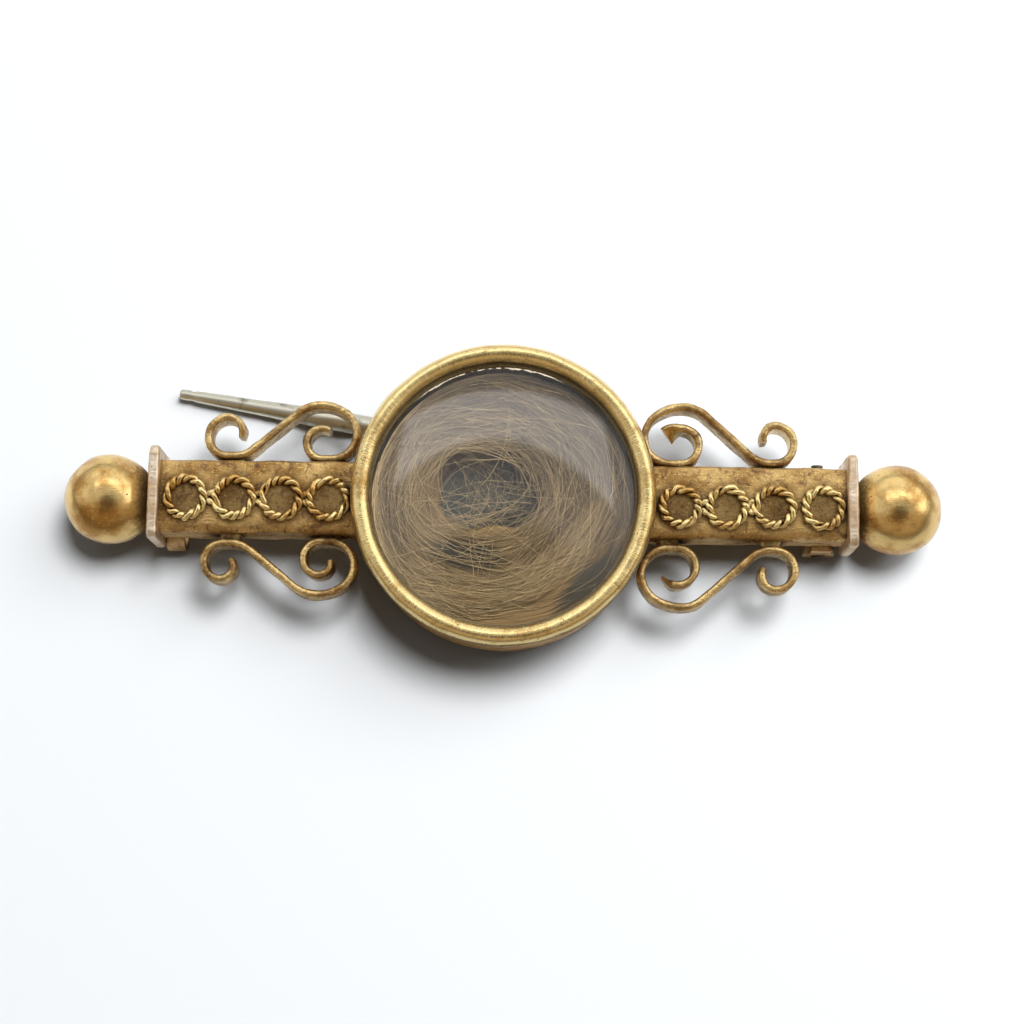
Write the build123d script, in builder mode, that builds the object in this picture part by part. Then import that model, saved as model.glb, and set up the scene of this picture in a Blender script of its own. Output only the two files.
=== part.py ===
"""Antique gold bar brooch with a round glazed hair locket, lying on its back. Millimetres.

X runs along the bar, Y across it and Z out of the front. The origin is on the surface that
the brooch lies on, under the locket's axis.
"""

from build123d import *
import math
import os
from collections import namedtuple

# Driving sizes of the bar: two box-section arms, their end plates and the balls
arm_length = 10.95
arm_width = 4.2
arm_depth = 2.6
arm_edge_radius = 0.35
arm_back_z = 2.6
plate_width = 5.6
plate_thickness = 0.62
plate_rise = 0.6
plate_drop = 1.9
plate_corner = 0.5
ball_diameter = 5.25
ball_sink = 0.12

# Driving sizes of the locket: case, bezel, glass, hair and backing
bezel_radius = 8.7
bezel_width = 1.05
bezel_height = 1.35
bezel_shoulder = 0.6
bezel_skirt_wall = 0.3
bezel_skirt_depth = 0.65
bezel_lip = 0.12
case_inset = 0.5
case_wall = 0.4
case_floor = 0.5
case_edge_radius = 0.7
rim_rise = 0.05
rim_width = 0.27
rim_thickness = 0.3
glass_edge = 0.36
glass_cover = 0.27
glass_dome = 1.4
glass_centre_thickness = 0.9
backing_thickness = 0.5
hair_height = 3.2
hair_edge_height = 2.1
hair_hole_radius = 2.7
hair_hole_floor_radius = 2.1
hair_hole_x = -0.85
hair_hole_y = 0.45

# Driving sizes of the rope rings, each two wires twisted together and bent round
rope_ring_diameter = 2.72
rope_diameter = 0.56
rope_core = 0.4
rope_strand = 0.36
rope_strand_nose = 0.16
rope_strand_lift = 0.11
rope_turns = 6
rope_slant = 42
rope_phase = 7
rope_sink = 0.08
ring_line_y = -0.2
ring_turn = 11

# Driving sizes of the scrolls, bent from one flat strip
scroll_strip = 0.42
scroll_depth = 1.75
scroll_below_front = 0.8
scroll_stand_off = 0.19
seam_length = 1.2
seam_depth = 1.2
scroll_contact_from_plate = 4.25
scroll_slope = 41

# Driving sizes of the hinge, the rivet, the pin stem and the catch
knuckle_diameter = 1.9
hinge_width = 4.8
hinge_foot_width = 1.2
pin_knuckle_from_y = -0.4
pin_knuckle_to_y = 1.2
rivet_diameter = 0.7
rivet_south_reach = 2.5
rivet_north_reach = 3.0
stem_diameter = 1.2
neck_diameter = 0.9
tip_diameter = 0.6
stem_taper_length = 9.0
stem_shoulder = 0.4
stem_edge = 0.1
stem_bend_run = 2.5
stem_root_y = 0.4
stem_bend_y = 1.12
stem_tip_y = 6.7
stem_tip_from_plate = 0.7
catch_strip = 0.35
catch_width = 1.1
catch_from_plate = 0.3
catch_base_y = 0.4
catch_turn_y = -1.3
catch_lip_y = 0.2
catch_curl_length = 0.45
catch_curl_turn = 40

# Clearances, and how deep soldered parts sink into each other
solder = 0.1
seat_gap = 0.03
skirt_gap = 0.04
soft_gap = 0.05
ring_gap = 0.04
hinge_gap = 0.15
knuckle_gap = 0.05
rivet_seat_gap = 0.01
rivet_running_gap = 0.03
pin_gap = 0.06

Run = namedtuple("Run", "length turn")
Bend = namedtuple("Bend", "share turn")
# The scroll's centre line, walked both ways from its outer solder point on the arm. Each
# bend's length is a share of the way from that point to the bezel, and its turn is in
# degrees. The strip is straight where the turn is zero.
scroll_reach = arm_length - scroll_contact_from_plate
outer_curl = [
    Bend(share=0.288, turn=-90),
    Bend(share=0.263, turn=-90),
    Bend(share=0.173, turn=-80),
    Bend(share=0.042, turn=0),
]
inner_curl = [
    Bend(share=0.190, turn=scroll_slope),
    Bend(share=0.518, turn=0),
    Bend(share=0.209, turn=-scroll_slope),
    Bend(share=0.234, turn=-35),
    Bend(share=0.215, turn=-55),
    Bend(share=0.352, turn=-90),
    Bend(share=0.052, turn=0),
    Bend(share=0.227, turn=-90),
    Bend(share=0.206, turn=-90),
    Bend(share=0.075, turn=-42),
]

# The inner curl's bend that ends along the arm
loop_at_arm = 5

# The bar's levels and places
arm_front_z = arm_back_z + arm_depth
plate_inner_x = bezel_radius + arm_length
plate_outer_x = plate_inner_x + plate_thickness
plate_back_z = arm_back_z - plate_drop
plate_front_z = arm_front_z + plate_rise
plate_height = plate_front_z - plate_back_z
ball_radius = ball_diameter / 2
ball_x = plate_outer_x + ball_radius - ball_sink
ball_z = plate_back_z + plate_height / 2

# The hinge's and the pin's places. The stem falls a little from the hinge towards its tip,
# and just clears the surface where its taper starts.
knuckle_radius = knuckle_diameter / 2
hinge_x = plate_inner_x - hinge_gap - knuckle_radius
hinge_z = knuckle_radius
rivet_radius = rivet_diameter / 2
stem_radius = stem_diameter / 2
tip_radius = tip_diameter / 2
tip_x = stem_tip_from_plate - plate_inner_x
stem_fall = (hinge_z - stem_radius - pin_gap) / (hinge_x - tip_x - stem_taper_length)
tip_z = hinge_z - stem_fall * (hinge_x - tip_x)
bend_x = hinge_x - stem_bend_run
bend_z = hinge_z - stem_fall * stem_bend_run

# The locket's levels and radii. Its back clears the pin stem that passes behind it.
case_radius = bezel_radius - case_inset
case_bore = case_radius - case_wall
case_back_z = hinge_z - stem_fall * (hinge_x - case_radius) + stem_radius + pin_gap
case_floor_z = case_back_z + case_floor
case_rim_z = arm_front_z + rim_rise
bezel_back_z = case_rim_z + seat_gap
bezel_front_z = bezel_back_z + bezel_height
bezel_side_z = bezel_back_z + bezel_shoulder
bezel_crown_radius = bezel_radius - bezel_width / 2
glass_opening = bezel_radius - bezel_width
glass_radius = glass_opening + glass_cover
glass_groove = glass_radius + seat_gap
glass_back_z = bezel_back_z + (bezel_height - glass_edge) / 3
glass_edge_z = glass_back_z + glass_edge
glass_front_z = glass_edge_z + glass_dome
glass_under_z = glass_front_z - glass_centre_thickness
skirt_radius = case_bore - skirt_gap
skirt_bore = skirt_radius - bezel_skirt_wall
skirt_back_z = bezel_back_z - bezel_skirt_depth
backing_z = case_floor_z + seat_gap
backing_radius = case_bore - soft_gap
hair_z = backing_z + backing_thickness + seat_gap
hair_radius = skirt_bore - soft_gap

# The rope rings' and the scrolls' places
ring_radius = (rope_ring_diameter - rope_diameter) / 2
ring_first_x = bezel_radius + ring_gap + rope_ring_diameter / 2
ring_count = int((arm_length - ring_gap) / rope_ring_diameter)
ring_z = arm_front_z + rope_core / 2 - rope_sink
strand_length = (rope_diameter - rope_strand) / math.sin(math.radians(rope_slant))
scroll_front_z = arm_front_z - scroll_below_front
scroll_middle_z = scroll_front_z - scroll_depth / 2
scroll_line_y = arm_width / 2 + scroll_stand_off + scroll_strip / 2
scroll_contact_x = plate_inner_x - scroll_contact_from_plate


def dome_radius(half_width, rise):
    """Radius of the sphere through a dome's edge and its top."""
    return (half_width**2 + rise**2) / (2 * rise)


def scroll_runs(bends):
    """The scroll's runs in millimetres."""
    return [Run(length=bend.share * scroll_reach, turn=bend.turn) for bend in bends]


def walk_strip(runs, start, heading):
    """Draws the runs one after another in the open line and returns each run's end."""
    ends = []
    point = Vector(*start)
    tangent = Vector(1, 0).rotate(Axis.Z, heading)
    for run in runs:
        if run.turn == 0:
            stretch = Line(point, point + tangent * run.length)
        else:
            radius = run.length / math.radians(abs(run.turn))
            stretch = JernArc(point, tangent, radius, run.turn)
        point = stretch @ 1
        tangent = stretch % 1
        ends.append(point)
    return ends


def half_rod(start, end, radius, end_radius, taper_length, edge=0.0):
    """Half the section of a straight rod, for turning: it tapers over its last stretch."""
    along = (end - start).normalized()
    length = (end - start).length
    section = Plane(origin=start, x_dir=along, z_dir=along.cross(Vector(0, 0, 1)))
    with BuildSketch(section, mode=Mode.PRIVATE) as half:
        with BuildLine():
            Polyline(
                (0, 0),
                (0, radius - edge),
                (edge, radius),
                (length - taper_length, radius),
                (length, end_radius),
                (length, 0),
                close=True,
            )
        make_face()
    return half.sketch


os.makedirs("parts", exist_ok=True)

# One slanted strand of rope, as it shows on top of the ring
with BuildPart() as strand:
    with BuildSketch(Plane.XY):
        with BuildLine():
            Polyline(
                (-strand_length / 2 - rope_strand_nose, 0),
                (-strand_length / 2 - rope_strand_nose, rope_strand / 4),
                (-strand_length / 2, rope_strand / 2),
                (strand_length / 2, rope_strand / 2),
                (strand_length / 2 + rope_strand_nose, rope_strand / 4),
                (strand_length / 2 + rope_strand_nose, 0),
                close=True,
            )
        make_face()
    revolve(axis=Axis.X)

# One rope ring: its strands lie across a round core
with BuildPart() as rope_ring:
    Torus(ring_radius, rope_core / 2)
    with PolarLocations(ring_radius, 2 * rope_turns, start_angle=rope_phase):
        with Locations(Location((0, 0, rope_strand_lift), (0, 0, 90 - rope_slant))):
            add(strand.part)

# The four scrolls: one strip on the left arm's north side, mirrored across both axes
with BuildPart() as scrolls:
    with BuildSketch(Plane.XY.offset(scroll_front_z - scroll_depth)) as strip:
        with BuildLine():
            walk_strip(
                scroll_runs(outer_curl), start=(-scroll_contact_x, scroll_line_y), heading=180
            )
        trace(line_width=scroll_strip)
        with BuildLine():
            ends = walk_strip(
                scroll_runs(inner_curl), start=(-scroll_contact_x, scroll_line_y), heading=0
            )
        trace(line_width=scroll_strip)
    extrude(amount=scroll_depth)
    # Solder fills the gap to the arm at both places where the strip lies along it
    for seam_x in (-scroll_contact_x, ends[loop_at_arm].X):
        with Locations((seam_x, arm_width / 2 + scroll_stand_off / 2, scroll_middle_z)):
            Box(seam_length, scroll_stand_off + 2 * solder, seam_depth)
    mirror(about=Plane.YZ)
    mirror(about=Plane.XZ)

# The soldered gold: case, arms, end plates, balls, scrolls, rope rings, hinge and catch
with BuildPart() as frame:
    with BuildSketch(Plane.XZ):
        with BuildLine():
            Polyline(
                (case_radius, case_back_z + case_edge_radius),
                (case_radius, case_rim_z - rim_thickness),
                (case_radius + rim_width, case_rim_z - rim_thickness),
                (case_radius + rim_width, case_rim_z),
                (0, case_rim_z),
                (0, case_back_z),
                (case_radius - case_edge_radius, case_back_z),
            )
            RadiusArc(
                (case_radius - case_edge_radius, case_back_z),
                (case_radius, case_back_z + case_edge_radius),
                -case_edge_radius,
            )
        make_face()
    revolve(axis=Axis.Z)

    with BuildSketch(Plane.YZ):
        with Locations((0, arm_back_z + arm_depth / 2)):
            arm_section = Rectangle(arm_width, arm_depth)
        fillet(arm_section.vertices().group_by(Axis.Y)[-1], arm_edge_radius)
    extrude(amount=plate_inner_x + solder, both=True)

    for side in (-1, 1):
        inner_face = Plane(
            origin=(side * plate_inner_x, 0, ball_z),
            x_dir=(0, 1, 0),
            z_dir=(side, 0, 0),
        )
        with BuildSketch(inner_face):
            RectangleRounded(plate_width, plate_height, plate_corner)
        extrude(amount=plate_thickness)
    with Locations((-ball_x, 0, ball_z), (ball_x, 0, ball_z)):
        Sphere(ball_radius)

    add(scrolls.part)
    for side in (-1, 1):
        for number in range(ring_count):
            ring_x = side * (ring_first_x + number * rope_ring_diameter)
            with Locations(Location((ring_x, ring_line_y, ring_z), (0, 0, number * ring_turn))):
                add(rope_ring.part)

    for ear_from_y, ear_to_y in (
        (-hinge_width / 2, pin_knuckle_from_y - knuckle_gap),
        (pin_knuckle_to_y + knuckle_gap, hinge_width / 2),
    ):
        foot_height = arm_back_z + solder - hinge_z
        with BuildSketch(Plane.XZ.offset(-ear_from_y)):
            with Locations((hinge_x, hinge_z)):
                Circle(knuckle_radius)
            with Locations((hinge_x, hinge_z + foot_height / 2)):
                Rectangle(hinge_foot_width, foot_height)
            with Locations((hinge_x, hinge_z)):
                Circle(rivet_radius + rivet_seat_gap, mode=Mode.SUBTRACT)
        extrude(amount=ear_from_y - ear_to_y)

    catch_turn_radius = (arm_back_z + solder - catch_strip) / 2
    catch = [
        Run(length=catch_base_y - catch_turn_y, turn=0),
        Run(length=math.pi * catch_turn_radius, turn=180),
        Run(length=catch_lip_y - catch_turn_y, turn=0),
        Run(length=catch_curl_length, turn=catch_curl_turn),
    ]
    catch_start = (catch_base_y, arm_back_z + solder - catch_strip / 2)
    with BuildSketch(Plane.YZ.offset(catch_from_plate - plate_inner_x)):
        with BuildLine():
            walk_strip(catch, start=catch_start, heading=180)
        trace(line_width=catch_strip)
    extrude(amount=catch_width)

    with Locations((0, 0, case_floor_z)):
        Cylinder(
            case_bore,
            bezel_front_z - case_floor_z,
            align=(Align.CENTER, Align.CENTER, Align.MIN),
            mode=Mode.SUBTRACT,
        )

# The bezel: a half-round rim that grips the glass, with a skirt inside the case
with BuildPart() as bezel:
    with BuildSketch(Plane.XZ):
        with BuildLine():
            ThreePointArc(
                (glass_opening, glass_edge_z + seat_gap + bezel_lip),
                (bezel_crown_radius, bezel_front_z),
                (bezel_radius, bezel_side_z),
            )
            Polyline(
                (bezel_radius, bezel_side_z),
                (case_radius + rim_width, bezel_back_z),
                (skirt_radius, bezel_back_z),
                (skirt_radius, skirt_back_z),
                (skirt_bore, skirt_back_z),
                (skirt_bore, glass_back_z - seat_gap),
                (glass_groove, glass_back_z - seat_gap),
                (glass_groove, glass_edge_z + seat_gap),
                (glass_opening, glass_edge_z + seat_gap),
                (glass_opening, glass_edge_z + seat_gap + bezel_lip),
            )
        make_face()
    revolve(axis=Axis.Z)

# The glass: a domed crystal, hollow underneath, with a thin flat edge in the bezel's groove
with BuildPart() as glass:
    dome_edge = glass_opening - seat_gap
    under_edge = skirt_bore - seat_gap
    with BuildSketch(Plane.XZ):
        with BuildLine():
            RadiusArc((0, glass_front_z), (dome_edge, glass_edge_z), dome_radius(dome_edge, glass_dome))
            Polyline(
                (dome_edge, glass_edge_z),
                (glass_radius, glass_edge_z),
                (glass_radius, glass_back_z),
                (under_edge, glass_back_z),
            )
            RadiusArc(
                (under_edge, glass_back_z),
                (0, glass_under_z),
                -dome_radius(under_edge, glass_under_z - glass_back_z),
            )
            Line((0, glass_under_z), (0, glass_front_z))
        make_face()
    revolve(axis=Axis.Z)

# The coil of hair: a soft domed ring, open in the middle a little off the locket's axis
with BuildPart() as hair_coil:
    with BuildSketch(Plane.XZ):
        with BuildLine():
            Polyline(
                (0, hair_z + hair_height),
                (0, hair_z),
                (hair_radius, hair_z),
                (hair_radius, hair_z + hair_edge_height),
            )
            RadiusArc(
                (0, hair_z + hair_height),
                (hair_radius, hair_z + hair_edge_height),
                dome_radius(hair_radius, hair_height - hair_edge_height),
            )
        make_face()
    revolve(axis=Axis.Z)
    with Locations((hair_hole_x, hair_hole_y, hair_z)):
        Cone(
            hair_hole_floor_radius,
            hair_hole_radius,
            hair_height,
            align=(Align.CENTER, Align.CENTER, Align.MIN),
            mode=Mode.SUBTRACT,
        )

# The backing: a dark card disc on the case's floor, under the hair
with BuildPart() as backing_disc:
    with Locations((0, 0, backing_z)):
        Cylinder(
            backing_radius,
            backing_thickness,
            align=(Align.CENTER, Align.CENTER, Align.MIN),
        )

# The pin stem: its knuckle, a neck that turns aside, and the long shaft down to a blunt tip
with BuildPart() as pin_stem:
    with BuildSketch(Plane.XZ.offset(-pin_knuckle_from_y)):
        with Locations((hinge_x, hinge_z)):
            Circle(knuckle_radius)
    extrude(amount=pin_knuckle_from_y - pin_knuckle_to_y)
    root = Vector(hinge_x, stem_root_y, hinge_z)
    bend = Vector(bend_x, stem_bend_y, bend_z)
    tip = Vector(tip_x, stem_tip_y, tip_z)
    shoulder = bend - (tip - bend).normalized() * stem_shoulder
    with Locations(Plane(origin=root, z_dir=bend - root)):
        Cylinder(
            neck_diameter / 2,
            (bend - root).length,
            align=(Align.CENTER, Align.CENTER, Align.MIN),
        )
    shaft = half_rod(shoulder, tip, stem_radius, tip_radius, stem_taper_length, stem_edge)
    revolve(shaft, axis=Axis(shoulder, tip - shoulder))
    with BuildSketch(Plane.XZ.offset(-pin_knuckle_from_y)):
        with Locations((hinge_x, hinge_z)):
            Circle(rivet_radius + rivet_running_gap)
    extrude(amount=pin_knuckle_from_y - pin_knuckle_to_y, mode=Mode.SUBTRACT)

# The rivet that the pin turns on
with BuildPart() as hinge_rivet:
    with BuildSketch(Plane.XZ.offset(rivet_south_reach)):
        with Locations((hinge_x, hinge_z)):
            Circle(rivet_radius)
    extrude(amount=-rivet_south_reach - rivet_north_reach)

pieces = {
    "frame": frame,
    "bezel": bezel,
    "glass": glass,
    "hair_coil": hair_coil,
    "backing_disc": backing_disc,
    "pin_stem": pin_stem,
    "hinge_rivet": hinge_rivet,
}
for name, piece in pieces.items():
    piece.part.label = name
    export_step(piece.part, f"parts/{name}.step")
    print(name, round(piece.part.volume, 2), piece.part.is_valid, len(piece.part.solids()))
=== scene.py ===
"""The looks of an antique gold locket brooch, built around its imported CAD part.

Lengths are in millimetres until a mesh is finished, and each finished mesh is in metres, in the
part's own frame: X runs along the bar, Y across it and Z out of the front.
"""

from __future__ import annotations

import logging
import math
from dataclasses import dataclass, field
from enum import Enum
from typing import NamedTuple

import bmesh
import bpy
import numpy as np
from mathutils import Matrix, Vector, noise


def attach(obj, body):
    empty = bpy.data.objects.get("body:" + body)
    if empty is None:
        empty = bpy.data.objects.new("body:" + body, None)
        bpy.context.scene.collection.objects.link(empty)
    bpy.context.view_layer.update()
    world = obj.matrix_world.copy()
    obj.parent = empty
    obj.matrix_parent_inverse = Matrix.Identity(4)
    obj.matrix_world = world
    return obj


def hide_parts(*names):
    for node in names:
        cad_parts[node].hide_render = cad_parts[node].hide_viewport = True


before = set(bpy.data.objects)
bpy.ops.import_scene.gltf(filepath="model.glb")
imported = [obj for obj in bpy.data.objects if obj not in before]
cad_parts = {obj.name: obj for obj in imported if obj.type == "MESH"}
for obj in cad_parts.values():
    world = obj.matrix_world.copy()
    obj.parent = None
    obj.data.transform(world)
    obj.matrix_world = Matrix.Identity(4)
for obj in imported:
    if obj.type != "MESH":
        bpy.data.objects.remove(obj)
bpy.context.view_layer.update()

LOG = logging.getLogger("brooch")
MM = 0.001

MATH = "ShaderNodeMath"
VECTOR = "ShaderNodeVectorMath"
NOISE = "ShaderNodeTexNoise"
RAMP = "ShaderNodeMapRange"
MIX = "ShaderNodeMix"

Profile = list[tuple[float, float]]
Inputs = dict[str | int, object]


class Side(Enum):
    """An end of the bar: the sign of X there."""

    CATCH = -1
    HINGE = 1


class Flank(Enum):
    """A long side of the bar: the sign of Y there."""

    NEAR = -1
    FAR = 1


class Run(NamedTuple):
    """One stretch of a bent strip: its length in mm and its turn in degrees, 0 for straight."""

    length: float
    turn: float


class Spot(NamedTuple):
    """A long soft spot on the locket's face, in mm, turned by degrees from X."""

    x: float
    y: float
    half_length: float
    half_width: float
    turn: float


# Colours and nodes


def srgb(code: str) -> tuple[float, float, float, float]:
    """Turns an sRGB hex value into a linear colour with full alpha.

    Args:
        code: six hex digits, red first.

    Returns:
        Linear red, green, blue and alpha.
    """
    channels = [int(code[i : i + 2], 16) / 255 for i in (0, 2, 4)]
    linear = [c / 12.92 if c <= 0.04045 else ((c + 0.055) / 1.055) ** 2.4 for c in channels]
    return (*linear, 1.0)


def add_node(
    tree: bpy.types.NodeTree, kind: str, inputs: Inputs | None = None, **settings: object
) -> bpy.types.Node:
    """Adds a node with its settings, and fills or links its inputs.

    Args:
        tree: the node tree that the node goes into.
        kind: the node's type name.
        inputs: values, or sockets to link from, by input name or number.
        **settings: the node's own properties.

    Returns:
        The new node.
    """
    node = tree.nodes.new(kind)
    for name, value in settings.items():
        setattr(node, name, value)
    for key, value in (inputs or {}).items():
        if isinstance(value, bpy.types.NodeSocket):
            tree.links.new(value, node.inputs[key])
        else:
            node.inputs[key].default_value = value
    return node


def new_material(name: str) -> tuple[bpy.types.Material, bpy.types.NodeTree]:
    """Makes a material with an empty node tree.

    Args:
        name: the material's name.

    Returns:
        The material and its tree.
    """
    material = bpy.data.materials.new(name)
    material.use_nodes = True
    material.node_tree.nodes.clear()
    return material, material.node_tree


# Meshes


def piece_from(
    name: str, vertices: np.ndarray, faces: list[tuple[int, ...]], material: bpy.types.Material
) -> bpy.types.Object:
    """Makes a smooth closed piece from points in mm, with its doubles merged and normals out.

    Args:
        name: the piece's name.
        vertices: an array of points in mm.
        faces: the faces, by point number.
        material: the piece's finish.

    Returns:
        The new object, at the origin.
    """
    mesh = bpy.data.meshes.new(name)
    mesh.from_pydata((np.asarray(vertices, float) * MM).tolist(), [], faces)
    shape = bmesh.new()
    shape.from_mesh(mesh)
    bmesh.ops.remove_doubles(shape, verts=shape.verts, dist=1e-4 * MM)
    bmesh.ops.dissolve_degenerate(shape, edges=shape.edges, dist=1e-4 * MM)
    bmesh.ops.recalc_face_normals(shape, faces=shape.faces)
    shape.to_mesh(mesh)
    shape.free()
    mesh.materials.append(material)
    mesh.shade_smooth()
    return placed(name, mesh)


def placed(name: str, mesh: bpy.types.Mesh) -> bpy.types.Object:
    """Puts a mesh into the scene as an object at the origin.

    Args:
        name: the object's name.
        mesh: the mesh.

    Returns:
        The object.
    """
    piece = bpy.data.objects.new(name, mesh)
    bpy.context.scene.collection.objects.link(piece)
    return piece


def join(name: str, parts: list[bpy.types.Object]) -> bpy.types.Object:
    """Joins several pieces of one material into one mesh.

    Args:
        name: the joined piece's name.
        parts: the pieces, which are used up.

    Returns:
        The joined piece.
    """
    shape = bmesh.new()
    for part in parts:
        shape.from_mesh(part.data)
    mesh = bpy.data.meshes.new(name)
    shape.to_mesh(mesh)
    shape.free()
    mesh.materials.append(parts[0].data.materials[0])
    mesh.shade_smooth()
    for part in parts:
        bpy.data.objects.remove(part)
    return placed(name, mesh)


def finish_piece(piece: bpy.types.Object, body: str, slot: str, *nodes: str) -> bpy.types.Object:
    """Ties a finished piece to its body, and hides the CAD nodes that it stands for.

    Args:
        piece: the piece.
        body: the body that it moves with.
        slot: the part's material slot; not used.
        *nodes: the CAD nodes that it replaces.

    Returns:
        The piece.
    """
    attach(piece, body)
    if nodes:
        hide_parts(*nodes)
    return piece


def ring_faces(segments: int, count: int, closed: bool) -> list[tuple[int, ...]]:
    """Faces of a skin that goes once round, from one column of points to the next.

    Args:
        segments: columns round the skin.
        count: points in a column.
        closed: whether each column's last point joins its first.

    Returns:
        The faces, by point number.
    """
    faces = []
    for i in range(segments):
        here, beside = i * count, (i + 1) % segments * count
        for j in range(count if closed else count - 1):
            above = (j + 1) % count
            faces.append((here + j, beside + j, beside + above, here + above))
    return faces


def turned(profile: Profile, segments: int, closed: bool = False) -> tuple[np.ndarray, list]:
    """Turns a profile about Z.

    Args:
        profile: (radius, height) points in mm.
        segments: steps round the axis.
        closed: whether the last point joins the first.

    Returns:
        Points and faces.
    """
    radii, heights = np.array(profile, float).T
    angles = np.linspace(0, 2 * math.pi, segments, endpoint=False)
    rings = np.stack(
        [
            np.outer(np.cos(angles), radii),
            np.outer(np.sin(angles), radii),
            np.tile(heights, (segments, 1)),
        ],
        axis=-1,
    )
    return rings.reshape(-1, 3), ring_faces(segments, len(profile), closed)


def lofted(sections: np.ndarray) -> tuple[np.ndarray, list]:
    """Skins closed sections one after another and caps both ends.

    Args:
        sections: an array of sections by points by XYZ, in mm.

    Returns:
        Points and faces.
    """
    rows, count = sections.shape[:2]
    faces = []
    for i in range(rows - 1):
        for j in range(count):
            here, above, beside = i * count, (i + 1) * count, (j + 1) % count
            faces.append((here + j, here + beside, above + beside, above + j))
    faces.append(tuple(range(count))[::-1])
    faces.append(tuple(range((rows - 1) * count, rows * count)))
    return sections.reshape(-1, 3), faces


def rounded_rectangle(
    width: float, height: float, radii: list[float], steps: int = 4
) -> np.ndarray:
    """Points round a rectangle about the origin, each corner with its own radius.

    Args:
        width: size along the first axis, in mm.
        height: size along the second axis, in mm.
        radii: the corners' radii, from the first quadrant anticlockwise.
        steps: steps in each corner.

    Returns:
        An array of points by two coordinates.
    """
    points = []
    signs = [(1, 1), (-1, 1), (-1, -1), (1, -1)]
    for quarter, ((sign_x, sign_y), radius) in enumerate(zip(signs, radii)):
        centre = (sign_x * (width / 2 - radius), sign_y * (height / 2 - radius))
        for step in range(steps + 1):
            angle = math.pi / 2 * (quarter + step / steps)
            points.append(
                (centre[0] + radius * math.cos(angle), centre[1] + radius * math.sin(angle))
            )
    return np.array(points)


def densified(outline: np.ndarray, step: float) -> np.ndarray:
    """Adds points along a closed outline's long edges.

    Args:
        outline: points by two coordinates, in mm.
        step: the longest edge left, in mm.

    Returns:
        The outline with more points.
    """
    points = []
    for here, following in zip(outline, np.roll(outline, -1, axis=0)):
        gap = float(np.linalg.norm(following - here))
        if gap < 1e-6:
            continue
        count = max(1, math.ceil(gap / step))
        points += [here + (following - here) * k / count for k in range(count)]
    return np.array(points)


def dome(half_width: float, edge: float, top: float, steps: int) -> Profile:
    """Points of a round dome's profile from its axis to its edge.

    Args:
        half_width: radius at the edge, in mm.
        edge: the edge's height, in mm.
        top: the height on the axis, in mm.
        steps: steps from axis to edge.

    Returns:
        The profile's points.
    """
    rise = top - edge
    radius = (half_width**2 + rise**2) / (2 * rise)
    spread = math.asin(half_width / radius)
    angles = [spread * i / steps for i in range(steps + 1)]
    return [(radius * math.sin(a), top - radius * (1 - math.cos(a))) for a in angles]


def batter(piece: bpy.types.Object, size: float, depth: float, seed: int) -> None:
    """Moves a mesh's points in and out a little, as wear and knocks do.

    Args:
        piece: the piece, whose mesh changes.
        size: the dents' size in mm.
        depth: the largest move in mm.
        seed: picks the pattern.
    """
    mesh = piece.data
    normals = [v.normal.copy() for v in mesh.vertices]
    shift = Vector((seed * 7.3, seed * 3.1, seed * 5.7))
    for vertex, normal in zip(mesh.vertices, normals):
        push = noise.noise(vertex.co / (size * MM) + shift) * depth * MM
        vertex.co += normal * push


def store_dirt_and_shade(piece: bpy.types.Object, dirt_and_shade: np.ndarray) -> None:
    """Stores a darker share for each vertex, which the gold finishes read."""
    layer = piece.data.attributes.new("kept_dirt_and_shade", "FLOAT", "POINT")
    layer.data.foreach_set("value", dirt_and_shade.astype(np.float32))


def places_of(piece: bpy.types.Object) -> np.ndarray:
    """Reads where a piece's vertices are.

    Args:
        piece: the piece.

    Returns:
        Rows of x, y and z in mm.
    """
    points = np.empty(len(piece.data.vertices) * 3)
    piece.data.vertices.foreach_get("co", points)
    return points.reshape(-1, 3) / MM


def path_of(
    runs: tuple[Run, ...], start: tuple[float, float], heading: float, step: float
) -> np.ndarray:
    """Walks the runs and gives points along the way.

    Args:
        runs: straight and bent stretches in order.
        start: the first point, in mm.
        heading: the first direction in degrees.
        step: the distance between points, in mm.

    Returns:
        An array of points by two coordinates.
    """
    x, y = start
    angle = math.radians(heading)
    points = [(x, y)]
    for run in runs:
        count = max(2, round(run.length / step))
        half_turn = math.radians(run.turn) / count / 2
        for _ in range(count):
            angle += half_turn
            x += math.cos(angle) * run.length / count
            y += math.sin(angle) * run.length / count
            angle += half_turn
            points.append((x, y))
    return np.array(points)


# Geometry Nodes: strips and wires swept along lines


class Section(Enum):
    """The outline that a sweep carries along its line."""

    STRIP = "strip"
    WIRE = "wire"


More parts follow.
